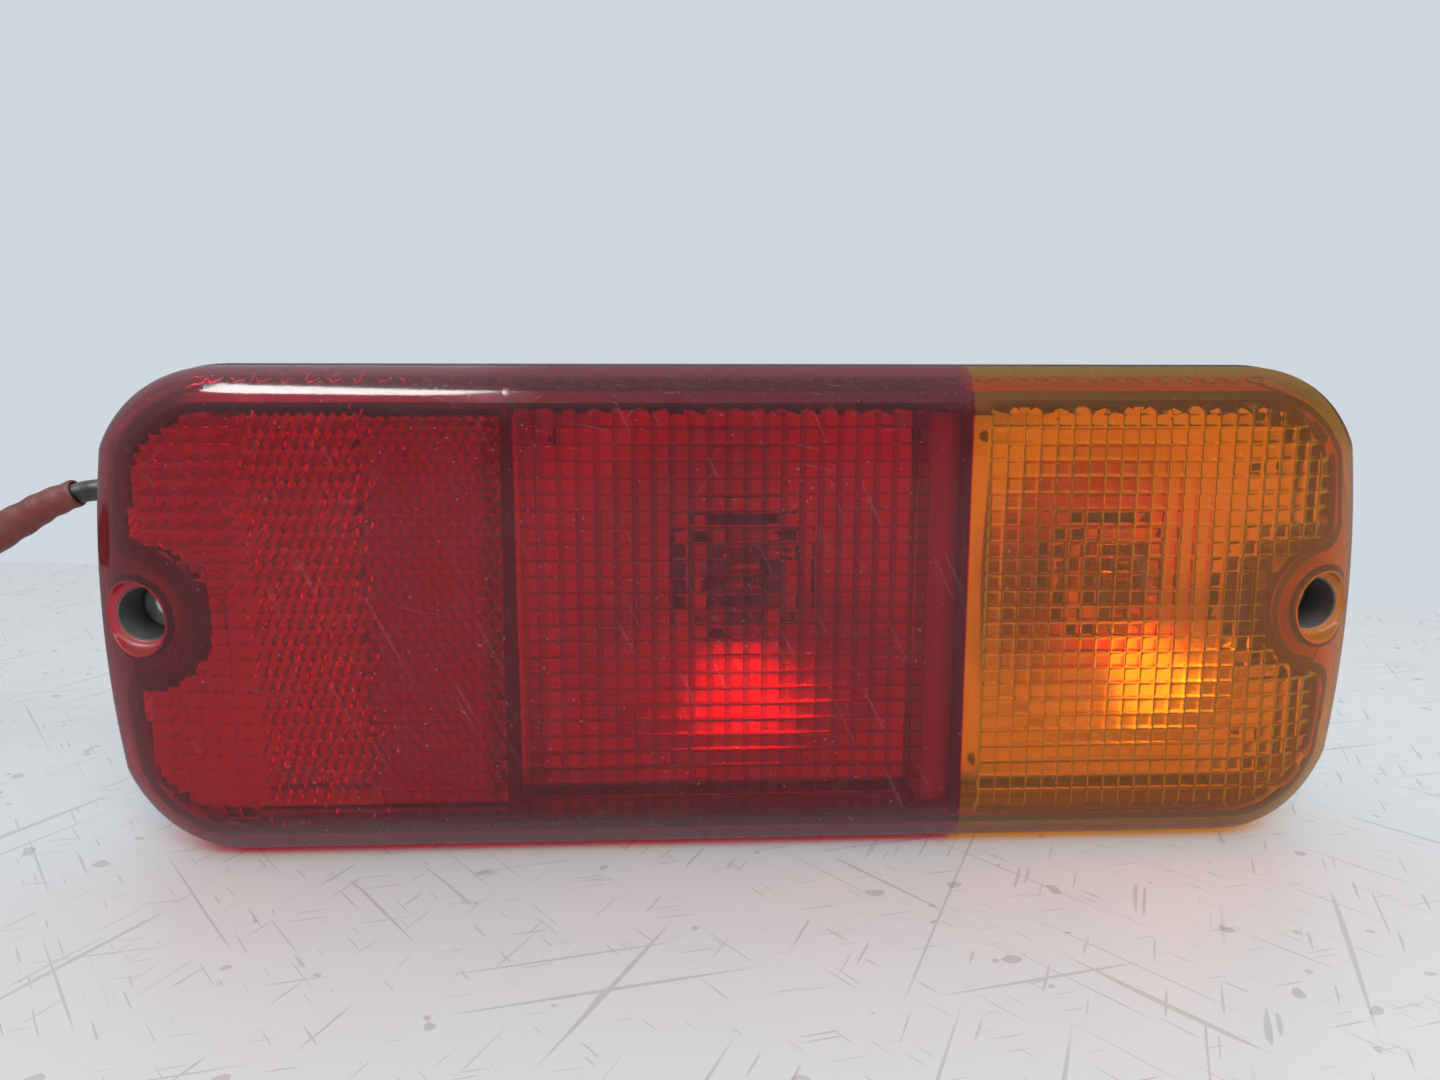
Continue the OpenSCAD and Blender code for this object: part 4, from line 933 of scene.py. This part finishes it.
nx, ny = 60, 50
V, F = [], []
for j in range(ny + 1):
    for i in range(nx + 1):
        x = -1.2 + 2.4 * i / nx
        far = 0.2617 - 0.224 * x
        y = -1.0 + (far + 1.0) * j / ny
        V.append((x, y, -0.0512 - 0.00005 * math.sin(7 * x + 3 * y)))
for j in range(ny):
    for i in range(nx):
        k = j * (nx + 1) + i
        F.append((k, k + 1, k + nx + 2, k + nx + 1))
fl = make("floor_sheet", V, F, floor_material(), body=None, mm=False)

scene = bpy.context.scene
world = bpy.data.worlds.new("room")
scene.world = world
world.use_nodes = True
wt = world.node_tree
wt.nodes.clear()
wo = wt.nodes.new("ShaderNodeOutputWorld")
bg = wt.nodes.new("ShaderNodeBackground")
tc = wt.nodes.new("ShaderNodeTexCoord")
sp = wt.nodes.new("ShaderNodeSeparateXYZ")
wt.links.new(tc.outputs["Generated"], sp.inputs[0])
front = wt.nodes.new("ShaderNodeMapRange")
front.inputs[1].default_value, front.inputs[2].default_value = -0.6, 0.4
front.inputs[3].default_value, front.inputs[4].default_value = 0.58, 1.02
wt.links.new(sp.outputs[1], front.inputs[0])
lpw = wt.nodes.new("ShaderNodeLightPath")
st = wt.nodes.new("ShaderNodeMix"); st.data_type = "FLOAT"
wt.links.new(lpw.outputs["Is Camera Ray"], st.inputs[0])
wt.links.new(front.outputs[0], st.inputs[2])
st.inputs[3].default_value = 1.0
bg.inputs[0].default_value = (0.630, 0.680, 0.735, 1)
wt.links.new(st.outputs[0], bg.inputs[1])
wt.links.new(bg.outputs[0], wo.inputs[0])


def area(name, loc, target, sx, sy, power, color=(1, 1, 1)):
    d = bpy.data.lights.new(name, "AREA")
    d.shape = "RECTANGLE"; d.size = sx; d.size_y = sy; d.energy = power; d.color = color
    o = bpy.data.objects.new(name, d)
    scene.collection.objects.link(o)
    o.location = loc
    o.rotation_euler = (Vector(target) - Vector(loc)).to_track_quat("-Z", "Y").to_euler()
    return o


area("overhead", (0.08, -0.67, 0.70), (0.03, -0.01, 0.0), 0.62, 0.45, 4.0, (1.0, 0.985, 0.96))
tube_light = area("tube", (-0.31, -0.36, 0.62), (-0.09, -0.01, 0.03), 0.30, 0.16, 6.4, (1, 1, 1))
tube_light.visible_diffuse = False
area("fill", (0.7, -0.7, 0.45), (0, 0, 0), 0.6, 0.6, 0.6, (0.96, 0.98, 1.0))

cam = bpy.data.cameras.new("camera")
cam.lens = 26.0; cam.sensor_width = 36.0; cam.clip_start = 0.005
co = bpy.data.objects.new("camera", cam)
scene.collection.objects.link(co)
co.location = (-0.0155, -0.2299, 0.0485)
co.rotation_euler = (math.radians(90 - 8.91), math.radians(-0.06), math.radians(-2.77))
scene.camera = co
scene.view_settings.view_transform = "Standard"
